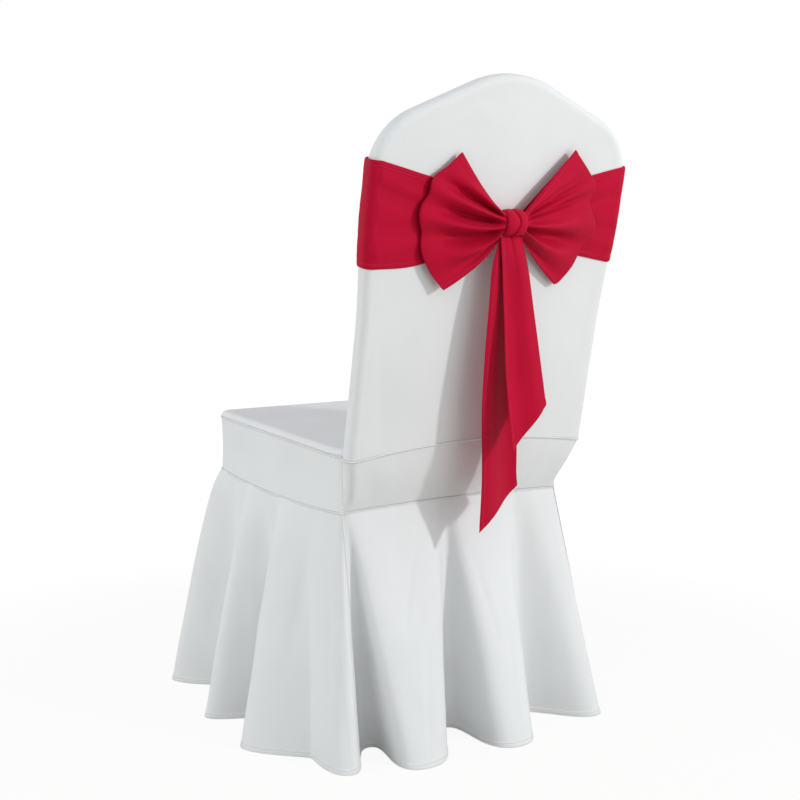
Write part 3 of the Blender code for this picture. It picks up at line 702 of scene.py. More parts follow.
def seatStations(first, coarse, ends=seamSteps):
    # places along the seam from one on the +X side round the front to its mirror image
    last = roundSeat - first
    return [mix(first, last, share) for share in sharesAcross(last - first, coarse, ends, ends)]


def makeSeatPanel():
    # round its edge a quarter roll stands up from the seam, then the top runs in
    stations = seatStations(sideStation, seatPanel["step"], plainEdge)
    rings = []
    for step in range(seatPanel["rollSteps"] + 1):
        turn = math.pi / 2.0 * step / seatPanel["rollSteps"]
        inset = seat["roll"] * (1.0 - math.cos(turn))
        rise = seat["roll"] * math.sin(turn) * seatPanel["rollRise"]
        ridge = seamEdge(seat["roll"] * turn)
        ring = []
        for station in stations:
            out = outward(station, seatPanel["sideTurn"])
            place = placeOnSeam(station) - out * (inset - ridge * math.cos(turn))
            height = seatSeamHeight(place.y) + rise + ridge * math.sin(turn)
            ring.append(Vector((place.x, place.y, height)))
        # the two ends run to the hood's front wall and are tucked in or let out beside it
        wall = backPoint(0.0, upAtHeight(seat["seamRear"] + rise, -back["depth"]), -back["depth"])
        for order in range(seatPanel["tuckColumns"]):
            for end, side in ((order, 1.0), (-1 - order, -1.0)):
                tuck = seat["tucks"][side < 0.0] * (1.0 - order / seatPanel["tuckColumns"])
                if order == 0:
                    ring[end].y = wall.y - seatPanel["wallGap"]
                ring[end].x = side * (abs(ring[end].x) - tuck)
        rings.append(ring)
    corner = min(range(len(stations)), key=lambda i: abs(stations[i] - frontCornerStation))
    left, top, right, shares = splitRim(rings[-1], corner)
    bottom = [left[0].lerp(right[0], share) for share in shares]
    inside = []
    for row in fillGrid(left, top, right, bottom, shares):
        line = []
        for point, u, v in row:
            inner = min(u, 1.0 - u), min(v, 1.0 - v)
            middle, rim = (
                ease(inner[0] / run) * ease(inner[1] / run)
                for run in (seatPanel["cushionRun"], seatPanel["rimRun"])
            )
            size = seatPanel["unevenSize"]
            height = seatPanel["cushion"] * middle
            height += seatPanel["uneven"] * softNoise(point.x / size, point.y / size, 0.0, 4) * rim
            line.append(point + Vector((0.0, 0.0, height)))
        inside.append(line[::-1])
    piece = sewCloth("seatCloth", (rings[::-1], inside), whiteCloth)
    settle(piece, "seat_panel")


makeSeatPanel()

# Both strips; seamHalf is half the gap that a seam between two pieces leaves
strip = dict(
    height=0.090, step=0.008, rowStep=0.006, gap=0.0003, lowGap=0.0001, seamHalf=0.00012,
    hollow=0.0012, drags=0.0009, dragSize=0.035, dragDown=0.7,
    puckers=0.0005, puckerSize=0.012, puckerDown=2.0,
    threadTop=0.0008, threadSide=-0.0002,
)


def makeFrontStrip():
    stations = seatStations(cornerStation + strip["seamHalf"], strip["step"])
    shares = sharesAcross(strip["height"], strip["rowStep"])
    rows = []
    for share in shares:
        line = []
        for station in stations:
            place = placeOnSeam(station)
            high = seatSeamHeight(place.y) - strip["gap"]
            low = skirtSeamHeight(place) + strip["lowGap"]
            line.append(Vector((place.x, place.y, mix(high, low, share))))
        rows.append(line)

    def relief(r, c, point):
        # the cloth hollows slightly between its seams, with faint drags from them
        share, station = shares[r], stations[c]
        fade = math.sin(math.pi * share)
        drags = strip["drags"] * softNoise(station / strip["dragSize"], share * strip["dragDown"], 0.0, 5)
        puckers = softNoise(station / strip["puckerSize"], share * strip["puckerDown"], 0.0, 6)
        puckers *= strip["puckers"]
        return fade * (drags - strip["hollow"]) + puckers * fade

    rows = finished(rows, top=seamEdge, bottom=tuckedEdge, left=seamEdge, right=seamEdge, relief=relief)
    lines = sideLines(rows, strip["threadSide"]) + [rowLine(rows, strip["threadTop"], False)]
    piece = sewCloth("stripFront", (allowance(rows),), whiteCloth)
    thread = addStitches("stripFrontThread", lines, whiteCloth, "seam")
    settle(piece, "apron_front",
           withPieces=(thread,))


makeFrontStrip()

rearStrip = dict(
    height=0.085, rowStep=0.005, swell=0.0040, swellRun=0.012, hoodGap=0.0004, wrapRings=4,
    wrapStep=0.004, wrapColumns=6, columns=64, drags=0.0008, dragSize=0.030, dragDown=0.8,
    threadTop=0.0009,
)

# Dents in the rear strip: place along the seam, half width, share of the drop, half height, height
rearDents = (
    (0.158, 0.014, 0.55, 0.30, -0.0022),
    (-0.150, 0.012, 0.50, 0.28, -0.0012),
    (0.128, 0.010, 0.50, 0.30, 0.0009),
)


def makeRearStrip():
    # runs from the hood's foot down and in to the seam at the seat's rear rail
    outer = cornerStation - strip["seamHalf"]
    inner = outer - rearStrip["wrapStep"] * (rearStrip["wrapColumns"] - 1)
    corner = placeOnSeam(outer)
    wrapped = [Vector((corner.x, corner.y, seat["seamRear"]))]
    for inset, out, _ in edgeRings(rearStrip["wrapRings"])[-3:0:-1]:
        wrapped.append(backPoint(backHalfWidth(0.0) - inset, hoodFoot(back["lowHalf"], out), out))
    lengths = alongRow(wrapped)
    # its upper edge, with places along the seam: round one side of the back, across, round the other
    wrap = []
    for share in sharesAcross(lengths[-1], lengths[-1] / rearStrip["wrapColumns"] / 2, end=plainEdge):
        i, part = spotAlong(lengths, share * lengths[-1])
        station = mix(outer, inner + rearStrip["wrapStep"], share)
        wrap.append((wrapped[i].lerp(wrapped[i + 1], part), station))
    half = back["lowHalf"] - back["edge"]
    middle = []
    for i in range(rearStrip["columns"] + 1):
        x = mix(half, -half, i / rearStrip["columns"])
        middle.append((backPoint(x, hoodFoot(x, 0.0), 0.0), mix(inner, -inner, i / rearStrip["columns"])))
    mirrored = []
    for point, station in reversed(wrap):
        foot = back["foot"].x * (1.0 if point is not wrap[0][0] else 0.0)
        mirrored.append((Vector((2.0 * foot - point.x, point.y, point.z)), -station))
    edge = wrap + middle + mirrored
    shares = sharesAcross(rearStrip["height"], rearStrip["rowStep"])
    rows = []
    for share in shares:
        line = []
        for high, station in edge:
            place = placeOnSeam(station)
            low = Vector((place.x, place.y, skirtSeamHeight(place) + strip["lowGap"]))
            point = (high - Vector((0.0, 0.0, rearStrip["hoodGap"]))).lerp(low, share)
            inside = ease((cornerStation - abs(station)) / rearStrip["swellRun"])
            point.y += rearStrip["swell"] * math.sin(math.pi * share) * inside
            line.append(point)
        rows.append(line[::-1])
    stations = [station for _, station in reversed(edge)]

    def relief(r, c, point):
        share, station = shares[r], stations[c]
        total = 0.0
        for place, half, middle, halfDown, height in rearDents:
            total += height * hump(station - place, half) * hump(share - middle, halfDown)
        drags = softNoise(station / rearStrip["dragSize"], share * rearStrip["dragDown"], 0.0, 7)
        total += rearStrip["drags"] * drags
        return math.sin(math.pi * share) * total

    rows = finished(rows, top=seamEdge, bottom=tuckedEdge, left=tuckedEdge, right=tuckedEdge, relief=relief)
    lines = [rowLine(rows, rearStrip["threadTop"], False)]
    piece = sewCloth("stripRear", (allowance(rows, (0, 1, 3)),), whiteCloth)
    thread = addStitches("stripRearThread", lines, whiteCloth, "seam")
    settle(piece, "apron_rear",
           withPieces=(thread,))


makeRearStrip()


# Skirt

skirt = dict(
    flare=0.045, valleySpring=1.05, hemLift=0.003, hemReach=0.08, outlook=0.055,
    step=0.0060, rowStep=0.011, seamHalf=0.0003, evenness=0.15, early=0.006, besideSeam=1.2,
    grown=0.25, hemGrown=0.06, uneven=((0.0016, 0.045, 1.3, 8), (0.0006, 0.020, 5.0, 9)),
    pucker=0.0007, puckerSize=0.010, puckerFrom=0.02, puckerRun=0.07,
    puckerDown=3.0, creaseEnd=2.5, walk=0.0001,
)

# One row for each fold, from the middle of the rear round the +X side. First its crest: x, y, the
# way it points in degrees, its breadth, its place along the seam, the power of the drop with which
# it springs out, and how the cloth's width is shared out before and after it (below 0 most of it
# goes to the crest, above 0 to the valley). Then the valley after it: x, y, the way it points, its
# breadth, its place along the seam.
folds = (
    (0.122, 0.319, 90, 0.220, 0.075, 1.10, -2.1, -10.0, 0.158, 0.205, 90, 0.110, 0.192),
    (0.234, 0.281, 75, 0.100, 0.235, 0.95, -2.5, -0.5, 0.251, 0.194, 5, 0.030, 0.300),
    (0.322, 0.100, 0, 0.110, 0.405, 0.70, -0.5, 0.7, 0.207, 0.022, 0, 0.080, 0.455),
    (0.315, -0.052, -2, 0.090, 0.530, 0.66, -0.5, 0.7, 0.205, -0.150, 0, 0.060, 0.585),
    (0.284, -0.266, -38, 0.120, 0.652, 0.42, -0.3, 0.4, 0.148, -0.279, -90, 0.060, 0.732),
    (0.083, -0.374, -92, 0.110, 0.788, 0.75, 0.4, 0.4, 0.020, -0.277, -90, 0.060, 0.848),
    (-0.068, -0.366, -87, 0.110, 0.912, 0.75, 0.4, 0.4, -0.146, -0.278, -90, 0.060, 0.972),
    (-0.268, -0.296, -140, 0.115, 1.046, 0.70, 0.3, 0.3, -0.203, -0.162, 180, 0.050, 1.134),
    (-0.304, -0.092, 178, 0.100, 1.202, 0.75, 0.4, 0.4, -0.206, -0.012, 180, 0.060, 1.260),
    (-0.311, 0.070, 180, 0.110, 1.335, 0.80, 0.4, 0.4, -0.210, 0.150, 178, 0.040, 1.408),
    (-0.233, 0.277, 112, 0.120, 1.510, 0.95, 0.2, -1.0, -0.125, 0.204, 90, 0.085, 1.568),
    (-0.042, 0.321, 90, 0.200, 1.640, 1.00, -2.5, -4.0, 0.016, 0.200, 90, 0.110, 1.7017),
)


def hemGuides():
    # each crest and valley as a place along the seam, a point of the hem and what shapes it there
    guides = []
    for row in folds:
        for x, y, aim, breadth, station, *shape in (row[:8], row[8:] + (skirt["valleySpring"], 0.0, 0.0)):
            turn = math.radians(aim)
            pull = Vector((math.sin(turn), -math.cos(turn))) * breadth
            guides.append((station, Vector((x, y)), pull, *shape))
    first, last = guides[0], guides[-1]
    return [(last[0] - roundSeat, *last[1:])] + guides + [(first[0] + roundSeat, *first[1:])]


guides = hemGuides()


def hemPlace(station):
    # point of the hem that shapes a place on the seam, and the power with which it springs
    station = guides[0][0] + (station - guides[0][0]) % roundSeat
    for here, after in zip(guides, guides[1:]):
        low, start, pull, spring, _, lowShare = here
        high, end, endPull, endSpring, highShare, _ = after
        if low <= station <= high:
            share = (station - low) / (high - low)
            power = 1.0 + abs(lowShare + highShare)
            early = lowShare > 0.0 or highShare < 0.0
            drawn = 1.0 - (1.0 - share) ** power if early else share ** power
            share = mix(drawn, share, skirt["evenness"])
            return cubic(start, pull, end, endPull, share), mix(spring, endSpring, share)
    return guides[-1][1].copy(), skirt["valleySpring"]


def hemStretch(station):
    # how many times wider the cloth is at the hem than at its seam, beside a side seam
    before, after = (hemPlace(station + turn * skirt["seamHalf"])[0] for turn in (-1.0, 1.0))
    return (after - before).length / (2.0 * skirt["seamHalf"])


def skirtPoint(station, drop, seam, out):
    hemPoint, spring = hemPlace(station)
    early = skirt["early"]
    sprung = ((drop + early) ** spring - early ** spring) / ((1.0 + early) ** spring - early ** spring)
    mean = seam + out * skirt["flare"]
    place = seam.lerp(mean, drop) + (hemPoint - mean) * sprung
    top = skirtSeamHeight(seam) - strip["lowGap"]
    foot = skirt["hemLift"] * max(1.0 - (hemPoint - seam).length / skirt["hemReach"], 0.0)
    return Vector((place.x, place.y, mix(top, foot, drop)))


def skirtStations(first, last):
    # evenly spaced along the hem, and close together beside the two side seams
    before, after = hemStretch(first - skirt["seamHalf"]), hemStretch(last + skirt["seamHalf"])
    stations = [first + step / before for step in seamSteps] + [last - step / after for step in seamSteps]
    reach = seamSteps[-1] * skirt["besideSeam"]
    start, end = first + reach / before, last - reach / after
    count = int((last - first) / skirt["walk"])
    least = (last - first) / count * 2.0
    walked = 0.0
    behind = hemPlace(first)[0]
    for i in range(1, count):
        station = mix(first, last, i / count)
        place = hemPlace(station)[0]
        walked += max((place - behind).length, least)
        behind = place
        if walked >= skirt["step"]:
            walked = 0.0
            if start < station < end:
                stations.append(station)
    return sorted(stations)


# Creases in the skirt: place along the seam, drop, length as a share of the drop, half width,
# how far it slants along the seam over its length, height
skirtCreases = (
    (0.112, 0.400, 0.030, 0.014, 0.034, -0.0012),
    (0.085, 0.440, 0.026, 0.012, 0.026, 0.0010),
    (-0.130, 0.350, 0.028, 0.012, 0.022, -0.0011),
    (0.090, 0.30, 0.16, 0.007, 0.020, -0.0016),
    (0.060, 0.62, 0.22, 0.010, 0.010, -0.0020),
    (0.236, 0.55, 0.30, 0.010, -0.004, 0.0020),
    (0.262, 0.60, 0.28, 0.008, 0.006, -0.0022),
    (0.330, 0.50, 0.25, 0.012, 0.010, -0.0020),
    (-0.020, 0.35, 0.20, 0.009, -0.012, -0.0014),
    (-0.080, 0.55, 0.25, 0.010, 0.006, 0.0016),
    (0.640, 0.45, 0.25, 0.010, 0.006, -0.0018),
    (0.820, 0.50, 0.25, 0.009, 0.006, 0.0016),
    (1.050, 0.55, 0.30, 0.011, -0.006, -0.0020),
    (1.330, 0.50, 0.25, 0.010, 0.006, 0.0018),
)


def skirtRelief(station, drop, point):
    where = station if station < roundSeat / 2.0 else station - roundSeat
    grown = ease(drop / skirt["grown"]) * ease((1.0 - drop) / skirt["hemGrown"])
    total = 0.0
    for height, size, down, seed in skirt["uneven"]:
        total += height * softNoise(point.x / size, point.y / size, drop * down, seed) * grown
    # little puckers under the seam
    size = skirt["puckerSize"]
    puckers = softNoise(point.x / size, point.y / size, drop * skirt["puckerDown"], 10)
    fading = ease(drop / skirt["puckerFrom"]) * math.exp(-drop / skirt["puckerRun"])
    total += skirt["pucker"] * puckers * fading
    for place, height, length, half, slant, depth in skirtCreases:
        along = (drop - height) / length
        if abs(along) < skirt["creaseEnd"]:
            for turn in (0.0, -roundSeat) if place > roundSeat / 2.0 else (0.0,):
                aside = where - (place + turn) - slant * along
                total += depth * hump(along, 1.0) * hump(aside, half)
    return total


def makeSkirt(name, node, first, last, under):
    # under: its side edges lie beneath those of the other skirt
    stations = skirtStations(first, last)
    length = seat["skirtSeam"]
    shares = sharesAcross(length, skirt["rowStep"], seamSteps, hemSteps)
    reaches = [seamSteps[-1] / hemStretch(end) * 2.0 for end in (first, last)]
    rows = []
    for share in shares:
        line = []
        for station in stations:
            # the skirts' edges stay as close together where the cloth widens towards the hem
            shifted = station
            for end, reach in zip((first, last), reaches):
                outwards = skirt["seamHalf"] if end == last else -skirt["seamHalf"]
                widened = 1.0 + (hemStretch(end + outwards) - 1.0) * share
                shifted += outwards * (1.0 - 1.0 / widened) * max(1.0 - abs(end - station) / reach, 0.0)
            line.append(skirtPoint(shifted, share, placeOnSeam(shifted), outward(shifted, skirt["outlook"])))
        rows.append(line)

    def relief(r, c, point):
        return skirtRelief(stations[c], shares[r], point)

    sides = tuckedEdge if under else seamEdge
    rows = finished(rows, top=seamEdge, bottom=hemEdge, left=sides, right=sides, relief=relief)
    hemLines = [rowLine(rows, distance, True) for distance in (hemLine, hem["edgeLine"])]
    seamLines = [rowLine(rows, strip["threadTop"], False)]
    if not under:
        seamLines += sideLines(rows, strip["threadSide"])
    piece = sewCloth(name, (allowance(rows, (0, 1, 3) if under else (0,)),), whiteCloth)
    threads = [addStitches(name + "HemThread", hemLines, whiteCloth, "hem"),
               addStitches(name + "SeamThread", seamLines, whiteCloth, "seam")]
    settle(piece, node, withPieces=threads)


rearEnd, frontEnd = cornerStation - skirt["seamHalf"], cornerStation + skirt["seamHalf"]
makeSkirt("skirtRear", "skirt_rear", -rearEnd, rearEnd, under=True)
makeSkirt("skirtFront", "skirt_front", frontEnd, roundSeat - frontEnd,
          under=False)


# Sash

band = dict(
    # share of the back's half width, the lower and the upper edge along the back
    left=((0.00, 0.3320, 0.3600), (0.12, 0.3285, 0.3650), (0.54, 0.2925, 0.4050),
          (0.74, 0.2830, 0.4165), (1.00, 0.2805, 0.4300)),
    right=((0.00, 0.3320, 0.3600), (0.25, 0.3220, 0.3700), (0.60, 0.3010, 0.4080),
           (0.80, 0.2930, 0.4200), (1.00, 0.2855, 0.4300)),
    rearSteps=96, frontSteps=40, cornerSteps=9, width=0.140, rowStep=0.0028, clearance=0.0005,
    lift=0.0014, edgeRun=0.10, flatFront=0.45, flatRear=0.35, middle=0.5, middleRun=0.4,
    uneven=0.0007, unevenAcross=3.0, unevenUp=9.0, unevenTurn=60.0,
    foldEnd=0.6, foldRun=0.8, sunk=0.0002,
)

# Gathers in the sash: share across the rear, share up its width there, how both end, half width
# as a share, height
bandFolds = (
    (1.02, 0.72, 0.45, 0.58, 0.075, -0.0024),
    (1.02, 0.86, 0.45, 0.70, 0.060, 0.0014),
    (1.02, 0.36, 0.45, 0.44, 0.080, -0.0020),
    (1.02, 0.14, 0.45, 0.30, 0.060, 0.0012),
    (-1.02, 0.72, -0.45, 0.60, 0.055, -0.0014),
    (-1.02, 0.88, -0.45, 0.70, 0.045, 0.0010),
    (-1.02, 0.36, -0.45, 0.42, 0.060, -0.0012),
    (-1.02, 0.16, -0.45, 0.32, 0.050, 0.0009),
)


def bandRing():
    # round the back as seen from the rear, from -X: side, centre's depth, turn, and whether it is behind
    near, deep = -back["edge"], back["edge"] - back["depth"]
    rear = [2.0 * i / band["rearSteps"] - 1.0 for i in range(band["rearSteps"] + 1)]
    front = [1.0 - 2.0 * i / band["frontSteps"] for i in range(1, band["frontSteps"] + 1)]
    turns = [90.0 * step / band["cornerSteps"] for step in range(band["cornerSteps"] + 1)]
    ring = [(side, near, 90.0, True) for side in rear]
    ring += [(1.0, near, 90.0 - turn, False) for turn in turns[1:]]
    ring += [(1.0, deep, -turn, False) for turn in turns]
    ring += [(side, deep, -90.0, False) for side in front]
    ring += [(-1.0, deep, -90.0 - turn, False) for turn in turns[1:]]
    ring += [(-1.0, near, -180.0 - turn, False) for turn in turns[:-1]]
    return ring


def makeBand():
    radius = back["edge"] + band["clearance"]
    ring = bandRing()
    shares = sharesAcross(band["width"], band["rowStep"], narrowHemSteps, narrowHemSteps)
    rows = []
    for drop in shares:
        line = []
        for side, centre, turn, behind in ring:
            # behind, each half has its own edges; round the front they run evenly from one to the other
            ends = [smoothTable(band[half], abs(side) if behind else 1.0) for half in ("right", "left")]
            share = float(side > 0.0) if behind else (side + 1.0) / 2.0
            low, high = (mix(first, last, share) for first, last in zip(*ends))
            up = mix(high, low, drop)
            angle = math.radians(turn)
            across = side * (backHalfWidth(up) - back["edge"])
            out = centre + radius * math.sin(angle)
            if behind:
                out += rearBulge(across, up)
            line.append(backPoint(across + radius * math.cos(angle), up, out))
        rows.append(line)

    def relief(r, c, point):
        side, _, turn, behind = ring[c]
        share = 1.0 - shares[r]
        edge = ease(min(share, 1.0 - share) / band["edgeRun"])
        lift = band["lift"] * edge
        if not behind:
            turnShare = abs(math.cos(math.radians(turn)))
            place = side * band["unevenAcross"], share * band["unevenUp"], turn / band["unevenTurn"]
            folds = band["uneven"] * softNoise(*place, 11)
            return lift * mix(band["flatFront"], 1.0, turnShare) + folds * edge
        total = lift * mix(band["flatRear"], 1.0, ease((abs(side) - band["middle"]) / band["middleRun"]))
        for fromSide, fromUp, toSide, toUp, half, height in bandFolds:
            if fromSide * side > 0.0:
                along = (abs(side) - abs(toSide)) / (abs(fromSide) - abs(toSide))
                if along > -band["foldEnd"]:
                    fading = ease((along + band["foldEnd"]) / band["foldRun"])
                    total += height * fading * hump(share - mix(toUp, fromUp, along), half) * edge
        return max(total, -band["sunk"])

    rows = finished(rows, closed=True, top=hemEdge, bottom=hemEdge, relief=relief)
    piece = sewCloth("sashBand", (rows,), redCloth, grow=1.0, closed=True)
    lines = [rowLine(rows, hemLine, fromEnd, redCloth["thick"]) for fromEnd in (False, True)]
    thread = addStitches("sashBandThread", lines, redCloth)
    settle(piece, "sash_band",
           withPieces=(thread,))


makeBand()

knot = dict(
    across=-0.0090, up=0.3500, halfLength=0.0179, halfHeight=0.0195, halfDepth=0.0185,
    out=0.0227, turns=120, steps=56, barrel=0.06, ends=0.15, endPower=9, swing=0.25,
    uneven=0.012, unevenAlong=2.0, unevenRound=1.5, wrapAt=0.48,
    cut=0.150, cutHalf=0.085, leftWrap=0.030, leftHalf=0.42, rightWrap=0.050, rightHalf=0.45,
)

# Where the groove between the knot's two wraps lies: height on the knot, place along it
knotGroove = ((-1.0, 0.24), (-0.4, 0.02), (0.1, -0.13), (0.5, -0.10), (1.0, 0.14))

# Creases round the knot: place along it, half width, depth as a share, sideways swing
knotCreases = (
    (0.62, 0.06, 0.010, 0.2), (0.84, 0.05, 0.008, 0.2),
    (-0.46, 0.045, 0.022, -0.25), (-0.70, 0.05, 0.006, -0.25),
)


def knotPoint(side, angle):
    groove = smoothTable(knotGroove, math.cos(angle))[0]
    girth = 1.0 - knot["barrel"] * side ** 2 - knot["ends"] * abs(side) ** knot["endPower"]
    leftWrap = hump(side - mix(groove, 1.0, knot["wrapAt"]), knot["leftHalf"])
    rightWrap = hump(side - mix(groove, -1.0, knot["wrapAt"]), knot["rightHalf"])
    cut = hump(side - groove, knot["cutHalf"])
    girth += knot["leftWrap"] * leftWrap + knot["rightWrap"] * rightWrap - knot["cut"] * cut
    high, deep = math.cos(angle), math.sin(angle)
    for place, half, depth, swing in knotCreases:
        girth -= depth * hump(side - place - high * knot["swing"] * swing, half)
    rounds = knot["unevenRound"]
    girth += knot["uneven"] * softNoise(side * knot["unevenAlong"], high * rounds, deep * rounds, 12)
    up = knot["up"] + girth * knot["halfHeight"] * high
    out = knot["out"] + girth * knot["halfDepth"] * deep
    return backPoint(knot["across"] + side * knot["halfLength"] - back["foot"].x, up, out)


def makeKnot():
    rows = []
    for step in range(knot["steps"] + 1):
        side = 1.0 - 2.0 * step / knot["steps"]
        rows.append([knotPoint(side, 2.0 * math.pi * turn / knot["turns"]) for turn in range(knot["turns"])])
    piece = sewCloth("bowKnot", (rows,), redCloth, closed=True)
    settle(piece, "bow_knot")


makeKnot()

loop = dict(
    across=-0.0036, neckHalf=0.0155, puffNeck=0.0128, puffRim=0.0055, pinch=0.97, behind=0.05,
    mouth=6.0, rim=0.45, width=0.205, columnStep=0.0024, rising=0.10,
    uneven=0.0010, unevenSize=0.022, turnStep=2.0, turns=30,
    rimFacings=(0.74, 0.68, 0.62, 0.56, 0.50, 0.44, 0.38, 0.32, 0.25, 0.18, 0.11, 0.05),
)

# Outer edge of each loop: the angle from level in degrees, the reach from the bow's middle and how
# far out from the back it lies
leftReach = (
    (-45.5, 0.1365, 0.0190), (-38.2, 0.1381, 0.0165), (-23.6, 0.1415, 0.0122),
    (-16.2, 0.1420, 0.0110), (-7.2, 0.1381, 0.0106), (-0.8, 0.1434, 0.0106),
    (4.1, 0.1460, 0.0106), (9.3, 0.1436, 0.0106), (15.5, 0.1389, 0.0106),
    (24.6, 0.1419, 0.0104), (36.2, 0.1315, 0.0094), (48.9, 0.1274, 0.0082),
)
rightReach = (
    (-42.2, 0.1415, 0.0120), (-38.6, 0.1480, 0.0120), (-20.3, 0.1524, 0.0120),
    (-14.6, 0.1550, 0.0120), (-6.1, 0.1682, 0.0120), (-2.0, 0.1679, 0.0120),
    (2.8, 0.1626, 0.0120), (7.3, 0.1565, 0.0120), (11.7, 0.1543, 0.0120),
    (16.1, 0.1671, 0.0120), (20.6, 0.1678, 0.0120), (24.8, 0.1635, 0.0122),
    (33.7, 0.1561, 0.0124), (43.6, 0.1525, 0.0125),
)

# Pleats that run out from the knot: angle at the rim and at the neck, depth (a ridge is negative),
# half width in degrees at the rim and at the neck, how far out it stays deep, share left at the rim
leftPleats = (
    (27.3, 31.0, 0.0190, 4.2, 5.0, 0.42, 0.16),
    (10.4, 4.5, 0.0200, 4.6, 5.2, 0.40, 0.20),
    (-9.5, -20.0, 0.0205, 5.8, 6.0, 0.44, 0.26),
    (-36.0, -37.0, 0.0100, 5.5, 5.0, 0.26, 0.18),
    (38.0, 42.0, -0.0030, 4.0, 4.0, 0.25, 0.10),
    (19.0, 18.0, -0.0060, 3.4, 4.0, 0.40, 0.20),
    (1.0, -7.5, -0.0060, 4.0, 4.0, 0.45, 0.30),
    (-24.0, -31.0, -0.0045, 5.0, 4.0, 0.40, 0.20),
)
rightPleats = (
    (27.2, 29.5, 0.0070, 1.7, 2.6, 0.30, 0.30),
    (23.0, 21.5, 0.0150, 2.8, 3.6, 0.36, 0.20),
    (15.0, 11.5, 0.0160, 3.2, 4.0, 0.40, 0.26),
    (7.0, 4.0, 0.0080, 3.4, 3.2, 0.30, 0.10),
    (-13.0, -15.5, 0.0210, 6.0, 6.0, 0.46, 0.28),
    (-36.0, -37.0, 0.0090, 5.2, 4.6, 0.30, 0.28),
    (0.0, -3.5, -0.0055, 5.0, 4.4, 0.40, 0.20),
    (-24.0, -26.0, -0.0045, 5.0, 4.0, 0.40, 0.15),
)


def loopTurns():
    # steps in degrees from the knot along the front to the rim, and back along the rear
    front = [loop["turnStep"] * step for step in range(loop["turns"] + 1)]
    for facing in loop["rimFacings"]:
        front.append(math.degrees(math.acos(facing ** (1.0 / loop["rim"]))))
    front = sorted(front)
    return front + [90.0] + [180.0 - turn for turn in reversed(front)]


def makeLoop(name, node, side, start, reach, fan, pleats, seed):
    # start is how far across the cloth begins in the knot and leaves its mouth; fan is how soon the
    # upper and the lower edge spread
    mouth = math.sin(math.radians(loop["mouth"]))
    shares = sharesAcross(loop["width"], loop["columnStep"], hemSteps, hemSteps)
    spreads = [2.0 * share - 1.0 for share in shares]
    rows = []
    for turn in loopTurns():
        run = math.sin(math.radians(turn))
        facing = math.cos(math.radians(turn))
        facing = math.copysign(abs(facing) ** loop["rim"], facing)
        opened = max(run - mouth, 0.0) / (1.0 - mouth)
        puff = mix(loop["puffNeck"], loop["puffRim"], opened ** 2)
        front = (1.0 + facing) / 2.0
        line = []
        for spread in spreads:
            angle = mix(reach[0][0], reach[-1][0], (spread + 1.0) / 2.0)
            length, rimOut = smoothTable(reach, angle)
            across = mix(start[0], start[1], min(run / mouth, 1.0))
            across = mix(across, length * math.cos(math.radians(angle)), opened)
            power = mix(fan[1], fan[0], (spread + 1.0) / 2.0)
            up = mix(loop["neckHalf"] * spread, length * math.sin(math.radians(angle)), opened ** power)
            up *= 1.0 - loop["behind"] * max(-facing, 0.0) * abs(spread)
            pinch = math.sqrt(1.0 - loop["pinch"] * spread ** 2)
            fold = 0.0
            for rimAngle, neckAngle, depth, rimHalf, neckHalf, deepest, left in pleats:
                middle = mix(neckAngle, rimAngle, ease(opened))
                half = mix(neckHalf, rimHalf, opened)
                rising = ease(opened / loop["rising"])
                falling = mix(1.0, left, ease((opened - deepest) / (1.0 - deepest)))
                fold += depth * rising * falling * hump(angle - middle, half)
            size = loop["unevenSize"]
            fold -= loop["uneven"] * opened * softNoise(across / size, up / size, facing, seed)
            out = mix(knot["out"], rimOut, opened) + puff * pinch * facing - fold * front
            line.append(backPoint(loop["across"] - back["foot"].x + side * across, knot["up"] + up, out))
        rows.append(line if side > 0.0 else line[::-1])
    rows = finished(rows, left=hemEdge, right=hemEdge)
    piece = sewCloth(name, (rows,), redCloth)
    thread = addStitches(name + "Thread", sideLines(rows, hemLine), redCloth)
    settle(piece, node,
           withPieces=(thread,))


makeLoop("bowLoopLeft", "bow_loop_left", 1.0, start=(-0.0017, 0.0130), reach=leftReach,
         fan=(1.25, 0.60), pleats=leftPleats, seed=13)
makeLoop("bowLoopRight", "bow_loop_right", -1.0, start=(0.0081, 0.0238), reach=rightReach,
         fan=(0.95, 0.80), pleats=rightPleats, seed=14)

tail = dict(
    top=0.7733, gather=0.06, fold=0.0035, crease=0.020, foldRun=0.20, width=0.068, step=0.0022,
    rowStep=0.006, uneven=0.0010, unevenAcross=1.6, unevenDown=0.07,
)

# Tails: height of a section, x of its +X edge and of its other edge, then y of each; how high the
# foot's tip is at its +X edge and the foot's corner at the other; which way it curls
frontTail = dict(
    sections=((0.4590, -0.0094, -0.0800, 0.3390, 0.3390), (0.5270, -0.0015, -0.0700, 0.3390, 0.3390),
              (0.5890, 0.0045, -0.0590, 0.3390, 0.3390), (0.6591, 0.0072, -0.0472, 0.3390, 0.3390),
              (0.7300, 0.0105, -0.0350, 0.3383, 0.3383), (0.7733, 0.0125, -0.0255, 0.3358, 0.3358)),
    corner=0.5270, tip=0.4590, turn=1.0,
)
rearTail = dict(
    sections=((0.3300, 0.0092, -0.0739, 0.2810, 0.2660), (0.3963, 0.0110, -0.0677, 0.2890, 0.2720),
              (0.4210, 0.0124, -0.0631, 0.2920, 0.2760), (0.5357, 0.0251, -0.0504, 0.3100, 0.2940),
              (0.6586, 0.0269, -0.0315, 0.3260, 0.3170), (0.7300, 0.0236, -0.0228, 0.3310, 0.3270),
              (0.7600, 0.0150, -0.0200, 0.3322, 0.3311), (0.7733, 0.0095, -0.0190, 0.3326, 0.3326)),
    corner=0.3950, tip=0.3315, turn=-1.0,
)

